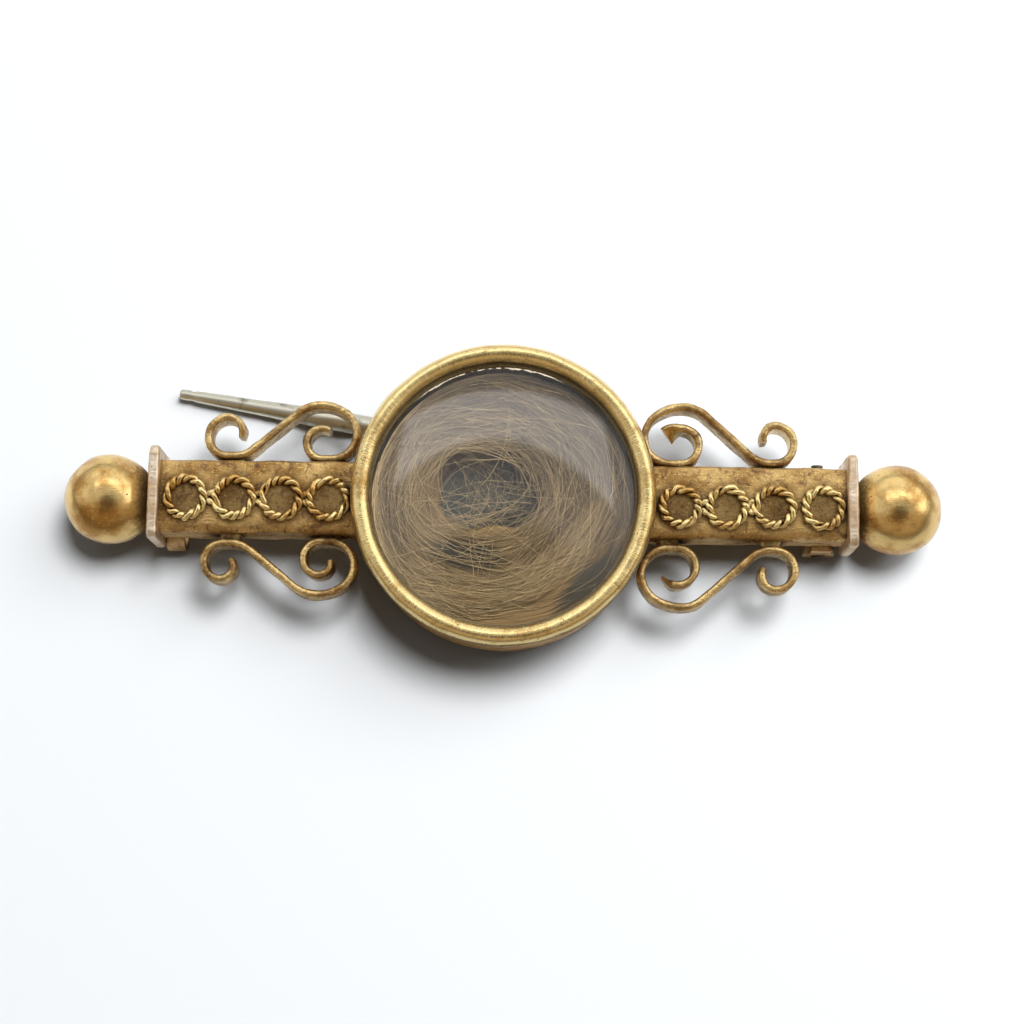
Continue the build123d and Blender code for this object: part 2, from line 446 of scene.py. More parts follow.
def sweep_tree(section: Section, closed: bool) -> bpy.types.NodeTree:
    """Builds the tree that sweeps a strip on edge, or a round wire, along a mesh's edges.

    Args:
        section: the outline.
        closed: whether the lines are rings, which need no caps.

    Returns:
        The tree. Its inputs are the section's sizes and the material. The points' "taper"
        scales the section, and their "twist", in radians, turns a strip.
    """
    tree = bpy.data.node_groups.new(f"sweep_{section.value}", "GeometryNodeTree")
    face = tree.interface
    face.new_socket("Geometry", in_out="INPUT", socket_type="NodeSocketGeometry")
    face.new_socket("Geometry", in_out="OUTPUT", socket_type="NodeSocketGeometry")
    labels = {"Width": 0.4, "Depth": 0.4, "Corner": 0.1}
    for label, value in labels.items():
        socket = face.new_socket(label, in_out="INPUT", socket_type="NodeSocketFloat")
        socket.default_value = value * MM
    face.new_socket("Material", in_out="INPUT", socket_type="NodeSocketMaterial")
    given = add_node(tree, "NodeGroupInput").outputs
    line = add_node(tree, "GeometryNodeMeshToCurve", {"Mesh": given["Geometry"]})
    upright = add_node(tree, "GeometryNodeSetCurveNormal", {"Curve": line.outputs[0]}, mode="Z_UP")
    if section is Section.STRIP:
        twist = add_node(
            tree, "GeometryNodeInputNamedAttribute", {"Name": "twist"}, data_type="FLOAT"
        )
        upright = add_node(
            tree,
            "GeometryNodeSetCurveTilt",
            {"Curve": upright.outputs[0], "Tilt": twist.outputs[0]},
        )
        outline = add_node(
            tree,
            "GeometryNodeCurvePrimitiveQuadrilateral",
            {"Width": given["Width"], "Height": given["Depth"]},
        )
        outline = add_node(
            tree,
            "GeometryNodeFilletCurve",
            {"Curve": outline.outputs[0], "Radius": given["Corner"], "Count": 4},
            mode="POLY",
        )
    else:
        half = add_node(tree, MATH, {0: given["Width"], 1: 0.5}, operation="MULTIPLY")
        outline = add_node(
            tree,
            "GeometryNodeCurvePrimitiveCircle",
            {"Resolution": 12 if closed else 3, "Radius": half.outputs[0]},
        )
    taper = add_node(tree, "GeometryNodeInputNamedAttribute", {"Name": "taper"}, data_type="FLOAT")
    swept = add_node(
        tree,
        "GeometryNodeCurveToMesh",
        {
            "Curve": (line if closed else upright).outputs[0],
            "Profile Curve": outline.outputs[0],
            "Scale": taper.outputs[0],
            "Fill Caps": not closed,
        },
    )
    real = add_node(tree, "GeometryNodeRealizeInstances", {"Geometry": swept.outputs[0]})
    dressed = add_node(
        tree,
        "GeometryNodeSetMaterial",
        {"Geometry": real.outputs[0], "Material": given["Material"]},
    )
    add_node(tree, "NodeGroupOutput", {"Geometry": dressed.outputs[0]})
    return tree


def line_mesh(
    name: str, lines: np.ndarray, closed: bool = False, **attributes: np.ndarray
) -> bpy.types.Mesh:
    """Makes a mesh of lines with an attribute or more on their points.

    Args:
        name: the mesh's name.
        lines: an array of lines by points by XYZ, in mm.
        closed: whether each line joins its own start.
        **attributes: values for each point of each line, by name.

    Returns:
        The mesh.
    """
    count, steps = lines.shape[:2]
    numbers = np.arange(count * steps).reshape(count, steps)
    pairs = [np.stack([numbers[:, :-1], numbers[:, 1:]], axis=-1).reshape(-1, 2)]
    if closed:
        pairs.append(np.stack([numbers[:, -1], numbers[:, 0]], axis=-1))
    mesh = bpy.data.meshes.new(name + "_lines")
    mesh.from_pydata(
        (lines.reshape(-1, 3) * MM).tolist(), np.concatenate(pairs).tolist(), []
    )
    attributes.setdefault("taper", np.ones((count, steps)))
    for label, values in attributes.items():
        layer = mesh.attributes.new(label, "FLOAT", "POINT")
        layer.data.foreach_set("value", np.asarray(values, np.float32).reshape(-1))
    return mesh


def grow(
    name: str,
    base: bpy.types.Mesh,
    tree: bpy.types.NodeTree,
    sizes: dict[str, float],
    material: bpy.types.Material,
) -> bpy.types.Object:
    """Runs a Geometry Nodes tree on a mesh and keeps the result as a plain mesh.

    Args:
        name: the piece's name.
        base: the mesh that the tree starts from.
        tree: the tree.
        sizes: the tree's sizes in mm, by input name.
        material: the finish, which the tree sets.

    Returns:
        The finished piece.
    """
    seed = placed(name + "_seed", base)
    modifier = seed.modifiers.new("grow", "NODES")
    modifier.node_group = tree
    sockets = [item for item in tree.interface.items_tree if item.in_out == "INPUT"]
    identifiers = {socket.name: socket.identifier for socket in sockets}
    for label, value in sizes.items():
        modifier[identifiers[label]] = value * MM
    modifier[identifiers["Material"]] = material
    seed.update_tag()
    bpy.context.view_layer.update()
    evaluated = seed.evaluated_get(bpy.context.evaluated_depsgraph_get())
    mesh = bpy.data.meshes.new_from_object(evaluated)
    mesh.name = name
    bpy.data.objects.remove(seed)
    mesh.shade_smooth()
    return placed(name, mesh)


# Finishes


@dataclass(frozen=True)
class WornGold:
    """Low-carat gold alloy, soldered, once polished and then worn and tarnished.

    The eye sees a warm metal that shines where it is rubbed, with browner skin, bright grains
    and brown grime in its pits. Its hollows, and places that a mesh marks, are darker with grime
    and painted shade. Sizes and gaps are in mm, and pit_radius is a share of pit_gap. On a turned
    rim the file marks run across it, file_mark apart at its crown.
    """

    name: str
    bright: str = "F5DB98"
    dull: str = "D3B374"
    fresh: str = "FBE59B"
    stain: str = "7A5A48"
    dirt_and_shade_colour: str = "2E1D12"
    roughness: float = 0.28
    roughness_spread: float = 0.14
    patch: float = 2.2
    dull_from: float = 0.42
    dull_to: float = 0.62
    grain: float = 0.2
    grain_from: float = 0.55
    grain_to: float = 0.7
    grain_share: float = 0.5
    stain_size: float = 1.3
    stain_from: float = 0.56
    stain_soft: float = 0.1
    stain_share: float = 0.5
    stain_roughness: float = 0.2
    pit_gap: float = 0.5
    pit_radius: float = 0.12
    pit_share: float = 0.35
    relief: float = 0.02
    recess: float = 0.5
    recess_open: float = 0.78
    recess_deep: float = 0.25
    recess_share: float = 0.85
    kept_from: float = 0.1
    kept_to: float = 1.1
    kept_share: float = 0.6
    dirt_and_shade_roughness: float = 0.8
    dirt_and_shade_metallic: float = 0.9
    scratch: float = 0.16
    file_mark: float = 0.063
    rim_crown: float = 8.19
    round_scratches: bool = False

    def material(self) -> bpy.types.Material:
        """Builds the finish.

        Returns:
            The material.
        """
        material, tree = new_material(self.name)
        place = add_node(tree, "ShaderNodeTexCoord").outputs["Object"]
        patterns = (
            {"Scale": 1 / (self.patch * MM), "Detail": 6.0, "Roughness": 0.62},
            {"Scale": 1 / (self.grain * MM), "Detail": 3.0, "Roughness": 0.6},
            {"Scale": 1 / (self.stain_size * MM), "Detail": 8.0, "Roughness": 0.68,
             "Distortion": 0.7},
        )
        patches, grains, stains = [
            add_node(tree, NOISE, {"Vector": place, **pattern}).outputs[0] for pattern in patterns
        ]
        steps = (
            (patches, self.dull_from, self.dull_to, 1.0),
            (grains, self.grain_from, self.grain_to, self.grain_share),
            (stains, self.stain_from, self.stain_from + self.stain_soft, self.stain_share),
        )
        dulled, grained, stained = [
            add_node(
                tree, RAMP, {0: value, 1: low, 2: high, 4: share}, interpolation_type="SMOOTHSTEP"
            ).outputs[0]
            for value, low, high, share in steps
        ]
        # The dark share: grime in pits, and grime with painted shade in hollows
        dirt_and_shade_share = self.dirt_and_shade(tree, place, grains)
        colour: object = srgb(self.bright)
        skins = (
            (dulled, self.dull), (grained, self.fresh), (stained, self.stain), (dirt_and_shade_share, self.dirt_and_shade_colour)
        )
        for share, tone in skins:
            colour = add_node(
                tree, MIX, {0: share, 6: colour, 7: srgb(tone)}, data_type="RGBA"
            ).outputs[2]
        rough = add_node(
            tree,
            RAMP,
            {0: dulled, 3: self.roughness, 4: self.roughness + self.roughness_spread},
        ).outputs[0]
        rough = add_node(
            tree, MATH, {0: stained, 1: self.stain_roughness, 2: rough}, operation="MULTIPLY_ADD"
        ).outputs[0]
        rough = add_node(
            tree, MIX, {0: dirt_and_shade_share, 2: rough, 3: self.dirt_and_shade_roughness}, data_type="FLOAT"
        ).outputs[0]
        metallic = add_node(tree, RAMP, {0: dirt_and_shade_share, 3: 1.0, 4: self.dirt_and_shade_metallic}).outputs[0]
        shader = add_node(
            tree,
            "ShaderNodeBsdfPrincipled",
            {
                "Base Color": colour,
                "Roughness": rough,
                "Metallic": metallic,
                "Normal": self.bumps(tree, place, patches, grains, dirt_and_shade_share),
            },
        )
        add_node(tree, "ShaderNodeOutputMaterial", {"Surface": shader.outputs[0]})
        return material

    def dirt_and_shade(
        self, tree: bpy.types.NodeTree, place: bpy.types.NodeSocket, grains: bpy.types.NodeSocket
    ) -> bpy.types.NodeSocket:
        """Where the finish darkens: grime in small pits, and grime with painted shade in hollows
        between pieces and where a mesh stores a share.

        Args:
            tree: the material's tree.
            place: the object coordinates.
            grains: the fine noise, which breaks the dark share's edge.

        Returns:
            The share of grime and painted shade, 0 to 1.
        """
        cells = add_node(
            tree, "ShaderNodeTexVoronoi", {"Vector": place, "Scale": 1 / (self.pit_gap * MM)}
        )
        near = add_node(
            tree,
            RAMP,
            {0: cells.outputs["Distance"], 1: self.pit_radius, 2: self.pit_radius / 2},
            interpolation_type="SMOOTHSTEP",
        ).outputs[0]
        chance = add_node(tree, "ShaderNodeSeparateColor", {0: cells.outputs["Color"]}).outputs[0]
        chosen = add_node(
            tree, MATH, {0: chance, 1: self.pit_share}, operation="LESS_THAN"
        ).outputs[0]
        dirt_and_shade_share = add_node(tree, MATH, {0: near, 1: chosen}, operation="MULTIPLY").outputs[0]
        # Ambient occlusion darkens the hollows between pieces: painted shade, with their grime
        shelter = add_node(
            tree, "ShaderNodeAmbientOcclusion", {"Distance": self.recess * MM}, samples=6
        ).outputs["AO"]
        # The stored share: painted shade down the bezel's outer side, grime with painted shade at
        # its glass, and the arms' darker faces by the rings
        stored = add_node(tree, "ShaderNodeAttribute", attribute_name="kept_dirt_and_shade").outputs["Fac"]
        uneven = add_node(tree, MATH, {0: grains, 1: 0.5}, operation="SUBTRACT").outputs[0]
        places = (
            (shelter, 0.5, self.recess_open, self.recess_deep, self.recess_share),
            (stored, 1.6, self.kept_from, self.kept_to, self.kept_share),
        )
        for value, ragged, low, high, share in places:
            value = add_node(
                tree, MATH, {0: uneven, 1: ragged, 2: value}, operation="MULTIPLY_ADD"
            ).outputs[0]
            value = add_node(
                tree, RAMP, {0: value, 1: low, 2: high, 4: share}, interpolation_type="SMOOTHSTEP"
            ).outputs[0]
            dirt_and_shade_share = add_node(tree, MATH, {0: dirt_and_shade_share, 1: value}, operation="MAXIMUM").outputs[0]
        return dirt_and_shade_share

    def bumps(
        self,
        tree: bpy.types.NodeTree,
        place: bpy.types.NodeSocket,
        patches: bpy.types.NodeSocket,
        grains: bpy.types.NodeSocket,
        dirt_and_shade_share: bpy.types.NodeSocket,
    ) -> bpy.types.NodeSocket:
        """The worn surface's low relief, with scratches.

        Args:
            tree: the material's tree.
            place: the object coordinates.
            patches: the broad noise.
            grains: the fine noise.
            dirt_and_shade_share: the share of grime and painted shade, which lies lower.

        Returns:
            The bent normal.
        """
        if self.round_scratches:
            # The noise reads the angle and the height only, so it is stretched along the radius
            parts = add_node(tree, "ShaderNodeSeparateXYZ", {0: place}).outputs
            angle = add_node(tree, MATH, {0: parts[1], 1: parts[0]}, operation="ARCTAN2").outputs[0]
            place = add_node(
                tree, "ShaderNodeCombineXYZ", {"X": angle, "Y": parts[2]}
            ).outputs[0]
            marks = {"Scale": self.rim_crown / self.file_mark, "Detail": 2.0, "Roughness": 0.5}
        else:
            place = add_node(
                tree,
                "ShaderNodeMapping",
                {"Vector": place, "Rotation": (0.3, 0.2, 0.1), "Scale": (0.2, 1.0, 1.0)},
            ).outputs[0]
            marks = {"Scale": 1 / (self.scratch * MM), "Detail": 4.0, "Roughness": 0.7}
        height = add_node(tree, NOISE, {"Vector": place, **marks}).outputs[0]
        for value, weight in ((patches, 3.0), (grains, 0.5), (dirt_and_shade_share, -1.0)):
            height = add_node(
                tree, MATH, {0: value, 1: weight, 2: height}, operation="MULTIPLY_ADD"
            ).outputs[0]
        return add_node(
            tree,
            "ShaderNodeBump",
            {"Strength": 1.0, "Distance": self.relief * MM, "Height": height},
        ).outputs[0]


@dataclass(frozen=True)
class DullSteel:
    """Drawn steel wire, grey and dull with age, with fine lines along it and dark specks.

    Sizes are in mm. The lines lie along the stem, which is turned by lie in radians from X.
    """

    name: str = "dull_steel_wire"
    colour: str = "CBC6B4"
    stain: str = "7A7262"
    roughness: float = 0.34
    lie: float = 0.158
    line_gap: float = 0.15
    stain_size: float = 0.8
    stain_from: float = 0.55
    stain_to: float = 0.75
    stain_share: float = 0.8
    relief: float = 0.006

    def material(self) -> bpy.types.Material:
        """Builds the finish.

        Returns:
            The material.
        """
        material, tree = new_material(self.name)
        place = add_node(tree, "ShaderNodeTexCoord").outputs["Object"]
        drawn = add_node(
            tree,
            "ShaderNodeMapping",
            {"Vector": place, "Rotation": (0.0, 0.0, self.lie), "Scale": (0.08, 1.0, 1.0)},
        ).outputs[0]
        lines = add_node(
            tree, NOISE, {"Vector": drawn, "Scale": 1 / (self.line_gap * MM), "Detail": 4.0}
        ).outputs[0]
        stains = add_node(
            tree, NOISE, {"Vector": place, "Scale": 1 / (self.stain_size * MM), "Detail": 5.0}
        ).outputs[0]
        stained = add_node(
            tree,
            RAMP,
            {0: stains, 1: self.stain_from, 2: self.stain_to, 4: self.stain_share},
            interpolation_type="SMOOTHSTEP",
        ).outputs[0]
        colour = add_node(
            tree,
            MIX,
            {0: stained, 6: srgb(self.colour), 7: srgb(self.stain)},
            data_type="RGBA",
        ).outputs[2]
        rough = add_node(
            tree, RAMP, {0: lines, 3: self.roughness - 0.08, 4: self.roughness + 0.12}
        ).outputs[0]
        bump = add_node(
            tree,
            "ShaderNodeBump",
            {"Strength": 0.5, "Distance": self.relief * MM, "Height": lines},
        ).outputs[0]
        shader = add_node(
            tree,
            "ShaderNodeBsdfPrincipled",
            {"Base Color": colour, "Metallic": 1.0, "Roughness": rough, "Normal": bump},
        )
        add_node(tree, "ShaderNodeOutputMaterial", {"Surface": shader.outputs[0]})
        return material


@dataclass(frozen=True)
class CrystalGlass:
    """Old ground and polished crystal, clear, that mirrors a soft light faintly.

    A broken whitish line runs along its edge on the far side. Lengths are in mm.
    """

    name: str = "polished_crystal"
    tint: str = "F6F5EE"
    pale_line: str = "9C9384"
    ior: float = 1.55
    line_radius: float = 7.46
    chip_width: float = 0.045
    chip_size: float = 0.5
    line_wander: float = 0.3
    line_from_y: float = 5.3
    line_full_y: float = 6.4
    line_full_x: float = 2.4
    line_to_x: float = 3.4

    def material(self) -> bpy.types.Material:
        """Builds the finish. Lamps shine through it unbent, so that the hair is lit.

        Returns:
            The material.
        """
        material, tree = new_material(self.name)
        clear = add_node(
            tree,
            "ShaderNodeBsdfPrincipled",
            {
                "Base Color": srgb(self.tint),
                "Roughness": 0.0,
                "IOR": self.ior,
                "Transmission Weight": 1.0,
            },
        )
        open_way = add_node(tree, "ShaderNodeBsdfTransparent", {"Color": srgb(self.tint)})
        path = add_node(tree, "ShaderNodeLightPath")
        either = add_node(
            tree,
            "ShaderNodeMixShader",
            {0: path.outputs["Is Shadow Ray"], 1: clear.outputs[0], 2: open_way.outputs[0]},
        )
        pale_edge = add_node(
            tree,
            "ShaderNodeBsdfPrincipled",
            {"Base Color": srgb(self.pale_line), "Roughness": 0.6},
        )
        lined = add_node(
            tree,
            "ShaderNodeMixShader",
            {0: self.pale_line_share(tree), 1: either.outputs[0], 2: pale_edge.outputs[0]},
        )
        add_node(tree, "ShaderNodeOutputMaterial", {"Surface": lined.outputs[0]})
        return material

    def pale_line_share(self, tree: bpy.types.NodeTree) -> bpy.types.NodeSocket:
        """Where the whitish line lies: a thin broken arc near the edge on the far side.

        Args:
            tree: the material's tree.

        Returns:
            The line's share, 0 to 1.
        """
        place = add_node(tree, "ShaderNodeTexCoord").outputs["Object"]
        parts = add_node(tree, "ShaderNodeSeparateXYZ", {0: place}).outputs
        flat = add_node(tree, "ShaderNodeCombineXYZ", {"X": parts[0], "Y": parts[1]}).outputs[0]
        reach = add_node(tree, VECTOR, {0: flat}, operation="LENGTH").outputs["Value"]
        off = add_node(
            tree, MATH, {0: reach, 1: self.line_radius * MM}, operation="SUBTRACT"
        ).outputs[0]
        broken = add_node(
            tree, NOISE, {"Vector": place, "Scale": 1 / (self.chip_size * MM), "Detail": 5.0}
        ).outputs[0]
        wander = add_node(tree, MATH, {0: broken, 1: 0.5}, operation="SUBTRACT").outputs[0]
        off = add_node(
            tree, MATH, {0: wander, 1: self.line_wander * MM, 2: off}, operation="MULTIPLY_ADD"
        ).outputs[0]
        off = add_node(tree, MATH, {0: off}, operation="ABSOLUTE").outputs[0]
        width = self.chip_width * MM
        thin = add_node(tree, RAMP, {0: off, 1: width, 2: width / 2}).outputs[0]
        far = add_node(
            tree,
            RAMP,
            {0: parts[1], 1: self.line_from_y * MM, 2: self.line_full_y * MM},
            interpolation_type="SMOOTHSTEP",
        ).outputs[0]
        left = add_node(
            tree, RAMP, {0: parts[0], 1: self.line_to_x * MM, 2: self.line_full_x * MM}
        ).outputs[0]
        torn = add_node(tree, RAMP, {0: broken, 1: 0.44, 2: 0.56}).outputs[0]
        share = thin
        for mask in (far, left, torn):
            share = add_node(tree, MATH, {0: share, 1: mask}, operation="MULTIPLY").outputs[0]
        return share


@dataclass(frozen=True)
class LooseHair:
    """Fine light brown hair, a little glossy, each hair its own shade.

    Its shade also holds painted shade, darker to the right and on the far side.
    """

    name: str = "loose_hair"
    dark: str = "42352B"
    light: str = "B49F80"
    roughness: float = 0.55

    def material(self) -> bpy.types.Material:
        """Builds the finish.

        Returns:
            The material.
        """
        material, tree = new_material(self.name)
        shade = add_node(tree, "ShaderNodeAttribute", attribute_name="shade").outputs["Fac"]
        colour = add_node(
            tree, MIX, {0: shade, 6: srgb(self.dark), 7: srgb(self.light)}, data_type="RGBA"
        ).outputs[2]
        shader = add_node(
            tree,
            "ShaderNodeBsdfPrincipled",
            {"Base Color": colour, "Roughness": self.roughness, "Specular IOR Level": 0.3},
        )
        add_node(tree, "ShaderNodeOutputMaterial", {"Surface": shader.outputs[0]})
        return material


@dataclass(frozen=True)
class PackedHair:
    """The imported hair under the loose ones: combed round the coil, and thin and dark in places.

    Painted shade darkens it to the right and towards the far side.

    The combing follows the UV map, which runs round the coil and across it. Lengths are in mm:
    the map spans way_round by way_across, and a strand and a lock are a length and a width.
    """

    gaps: tuple[Spot, ...]
    name: str = "packed_hair"
    dark: str = "3F342A"
    light: str = "7A654A"
    gap: str = "26282A"
    painted_shade_slope: tuple[float, float, float] = (-14.0, -22.0, 0.0)
    sway_size: float = 2.6
    sway: float = 0.05
    way_round: float = 31.5
    way_across: float = 4.9
    strand: tuple[float, float] = (6.3, 0.07)
    lock: tuple[float, float] = (7.875, 0.35)
    lit_from: float = 0.62
    lit_to: float = 1.15
    relief: float = 0.12

    def material(self) -> bpy.types.Material:
        """Builds the finish.

        Returns:
            The material.
        """
        material, tree = new_material(self.name)
        coordinates = add_node(tree, "ShaderNodeTexCoord").outputs
        uv, place = coordinates["UV"], coordinates["Object"]
        sway = add_node(
            tree, NOISE, {"Vector": place, "Scale": 1 / (self.sway_size * MM), "Detail": 2.0}
        ).outputs["Color"]
        sway = add_node(
            tree, VECTOR, {0: sway, 1: (0.5, 0.5, 0.5)}, operation="SUBTRACT"
        ).outputs[0]
        sway = add_node(tree, VECTOR, {0: sway, "Scale": self.sway}, operation="SCALE").outputs[0]
        uv = add_node(tree, VECTOR, {0: uv, 1: sway}, operation="ADD").outputs[0]
        patterns = (
            (self.strand, {"Detail": 6.0, "Roughness": 0.62}), (self.lock, {"Detail": 3.0})
        )
        combed = []
        for (length, width), detail in patterns:
            scale = (self.way_round / length, self.way_across / width, 1.0)
            drawn = add_node(tree, "ShaderNodeMapping", {"Vector": uv, "Scale": scale})
            pattern = {"Vector": drawn.outputs[0], "Scale": 1.0, **detail}
            combed.append(add_node(tree, NOISE, pattern).outputs[0])
        fine, broad = combed
        shade = add_node(
            tree, MATH, {0: broad, 1: 0.8, 2: fine}, operation="MULTIPLY_ADD"
        ).outputs[0]
        # Painted shade: the packed hair is darker to the right and towards the far side
        painted_shade_slope = add_node(tree, VECTOR, {0: place, 1: self.painted_shade_slope}, operation="DOT_PRODUCT")
        shade = add_node(
            tree, MATH, {0: shade, 1: painted_shade_slope.outputs["Value"]}, operation="ADD"
        ).outputs[0]
        lit = add_node(tree, RAMP, {0: shade, 1: self.lit_from, 2: self.lit_to}).outputs[0]
        colour = add_node(
            tree, MIX, {0: lit, 6: srgb(self.dark), 7: srgb(self.light)}, data_type="RGBA"
        ).outputs[2]
        for spot in self.gaps:
            share = self.gap_share(tree, place, fine, spot)
            colour = add_node(
                tree, MIX, {0: share, 6: colour, 7: srgb(self.gap)}, data_type="RGBA"
            ).outputs[2]
        bump = add_node(
            tree,
            "ShaderNodeBump",
            {"Strength": 1.0, "Distance": self.relief * MM, "Height": shade},
        ).outputs[0]
        shader = add_node(
            tree,
            "ShaderNodeBsdfPrincipled",
            {
                "Base Color": colour,
                "Roughness": 0.7,
                "Specular IOR Level": 0.25,
                "Normal": bump,
            },
        )
        add_node(tree, "ShaderNodeOutputMaterial", {"Surface": shader.outputs[0]})
        return material

    @staticmethod
    def gap_share(
        tree: bpy.types.NodeTree,
        place: bpy.types.NodeSocket,
        ragged: bpy.types.NodeSocket,
        spot: Spot,
    ) -> bpy.types.NodeSocket:
        """How far a place lies inside a thin spot.

        Args:
            tree: the material's tree.
            place: the object coordinates.
            ragged: a noise that breaks the spot's edge.
            spot: the thin spot.

        Returns:
            The share, 0 outside to 1 inside.
        """
        turn = math.radians(-spot.turn)
        centre = Vector((spot.x, spot.y, 0)) * MM
        centre.rotate(Matrix.Rotation(turn, 3, "Z"))
        turned_place = add_node(
            tree, "ShaderNodeVectorRotate", {"Vector": place, "Angle": turn}, rotation_type="Z_AXIS"
        ).outputs[0]
        local = add_node(
            tree, VECTOR, {0: turned_place, 1: centre}, operation="SUBTRACT"
        ).outputs[0]
        scale = (1 / (spot.half_length * MM), 1 / (spot.half_width * MM), 0.0)
        local = add_node(tree, VECTOR, {0: local, 1: scale}, operation="MULTIPLY").outputs[0]
        reach = add_node(tree, VECTOR, {0: local}, operation="LENGTH").outputs["Value"]
        reach = add_node(
            tree, MATH, {0: ragged, 1: 1.2, 2: reach}, operation="MULTIPLY_ADD"
        ).outputs[0]
        return add_node(
            tree, RAMP, {0: reach, 1: 1.9, 2: 1.2, 4: 0.95}, interpolation_type="SMOOTHSTEP"
        ).outputs[0]


@dataclass(frozen=True)
class DarkCard:
    """Card covered in dark blue-grey cloth, seen under the hair as a soft even dark."""

    name: str = "dark_covered_card"
    colour: str = "292D30"
    thread: str = "3E4347"
    thread_gap: float = 0.25

    def material(self) -> bpy.types.Material:
        """Builds the finish.

        Returns:
            The material.
        """
        material, tree = new_material(self.name)
        place = add_node(tree, "ShaderNodeTexCoord").outputs["Object"]
        threads = add_node(
            tree, NOISE, {"Vector": place, "Scale": 1 / (self.thread_gap * MM), "Detail": 3.0}
        ).outputs[0]
        colour = add_node(
            tree, MIX, {0: threads, 6: srgb(self.colour), 7: srgb(self.thread)}, data_type="RGBA"
        ).outputs[2]
        bump = add_node(
            tree, "ShaderNodeBump", {"Strength": 0.6, "Distance": 0.03 * MM, "Height": threads}
        ).outputs[0]
        shader = add_node(
            tree,
            "ShaderNodeBsdfPrincipled",
            {"Base Color": colour, "Roughness": 0.85, "Normal": bump},
        )
        add_node(tree, "ShaderNodeOutputMaterial", {"Surface": shader.outputs[0]})
        return material


@dataclass(frozen=True)
class PalePaper:
    """Matt pale paper under the brooch, which looks white and even at any distance.

    In a mirror image it is dimmer away from the pool of light about the brooch, and dimmer on
    its near side, a painted shadow. Lengths are in mm.
    """

    name: str = "pale_paper"
    colour: str = "9D9FA1"
    away: str = "4C4D4E"
    white: str = "FBFCFF"
    pool: float = 33.0
    edge: float = 90.0
    near_from_y: float = 4.0
    near_full_y: float = -9.0
    mirrored: float = 0.5
    glow_from: float = 60.0
    glow_to: float = 330.0
    glow: float = 0.62

    def material(self) -> bpy.types.Material:
        """Builds the finish.

        Returns:
            The material.
        """
        material, tree = new_material(self.name)
        place = add_node(tree, "ShaderNodeTexCoord").outputs["Object"]
        reach = add_node(tree, VECTOR, {0: place}, operation="LENGTH").outputs["Value"]
        share = add_node(
            tree, RAMP, {0: reach, 1: self.pool * MM, 2: self.edge * MM}
        ).outputs[0]
        # A mirror image shows the sheet dimmer: it was lit in the middle and whitened later. Its
        # near side is dimmer still in a mirror image, a painted shadow
        mirrored = add_node(tree, "ShaderNodeLightPath").outputs["Is Glossy Ray"]
        parts = add_node(tree, "ShaderNodeSeparateXYZ", {0: place}).outputs
        near = add_node(
            tree,
            RAMP,
            {0: parts[1], 1: self.near_from_y * MM, 2: self.near_full_y * MM, 4: self.mirrored},
        ).outputs[0]
        share = add_node(tree, MATH, {0: share, 1: near}, operation="MAXIMUM").outputs[0]
        share = add_node(tree, MATH, {0: share, 1: mirrored}, operation="MULTIPLY").outputs[0]
        glow = add_node(
            tree,
            RAMP,
            {0: reach, 1: self.glow_from * MM, 2: self.glow_to * MM, 4: self.glow},
            interpolation_type="SMOOTHSTEP",
        ).outputs[0]
        direct = add_node(tree, RAMP, {0: mirrored, 3: 1.0, 4: 0.0}).outputs[0]
        glow = add_node(tree, MATH, {0: glow, 1: direct}, operation="MULTIPLY").outputs[0]
        colour = add_node(
            tree, MIX, {0: share, 6: srgb(self.colour), 7: srgb(self.away)}, data_type="RGBA"
        ).outputs[2]
        shader = add_node(
            tree,
            "ShaderNodeBsdfPrincipled",
            {
                "Base Color": colour,
                "Roughness": 1.0,
                "Specular IOR Level": 0.0,
                "Emission Color": srgb(self.white),
                "Emission Strength": glow,
            },
        )
        add_node(tree, "ShaderNodeOutputMaterial", {"Surface": shader.outputs[0]})
        return material


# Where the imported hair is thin, over the locket's face
THIN_SPOTS = (
    Spot(x=-2.0, y=-3.3, half_length=2.4, half_width=1.0, turn=-10),
    Spot(x=5.1, y=-4.4, half_length=2.8, half_width=0.75, turn=42),
    Spot(x=5.0, y=0.3, half_length=0.6, half_width=0.35, turn=-40),
)


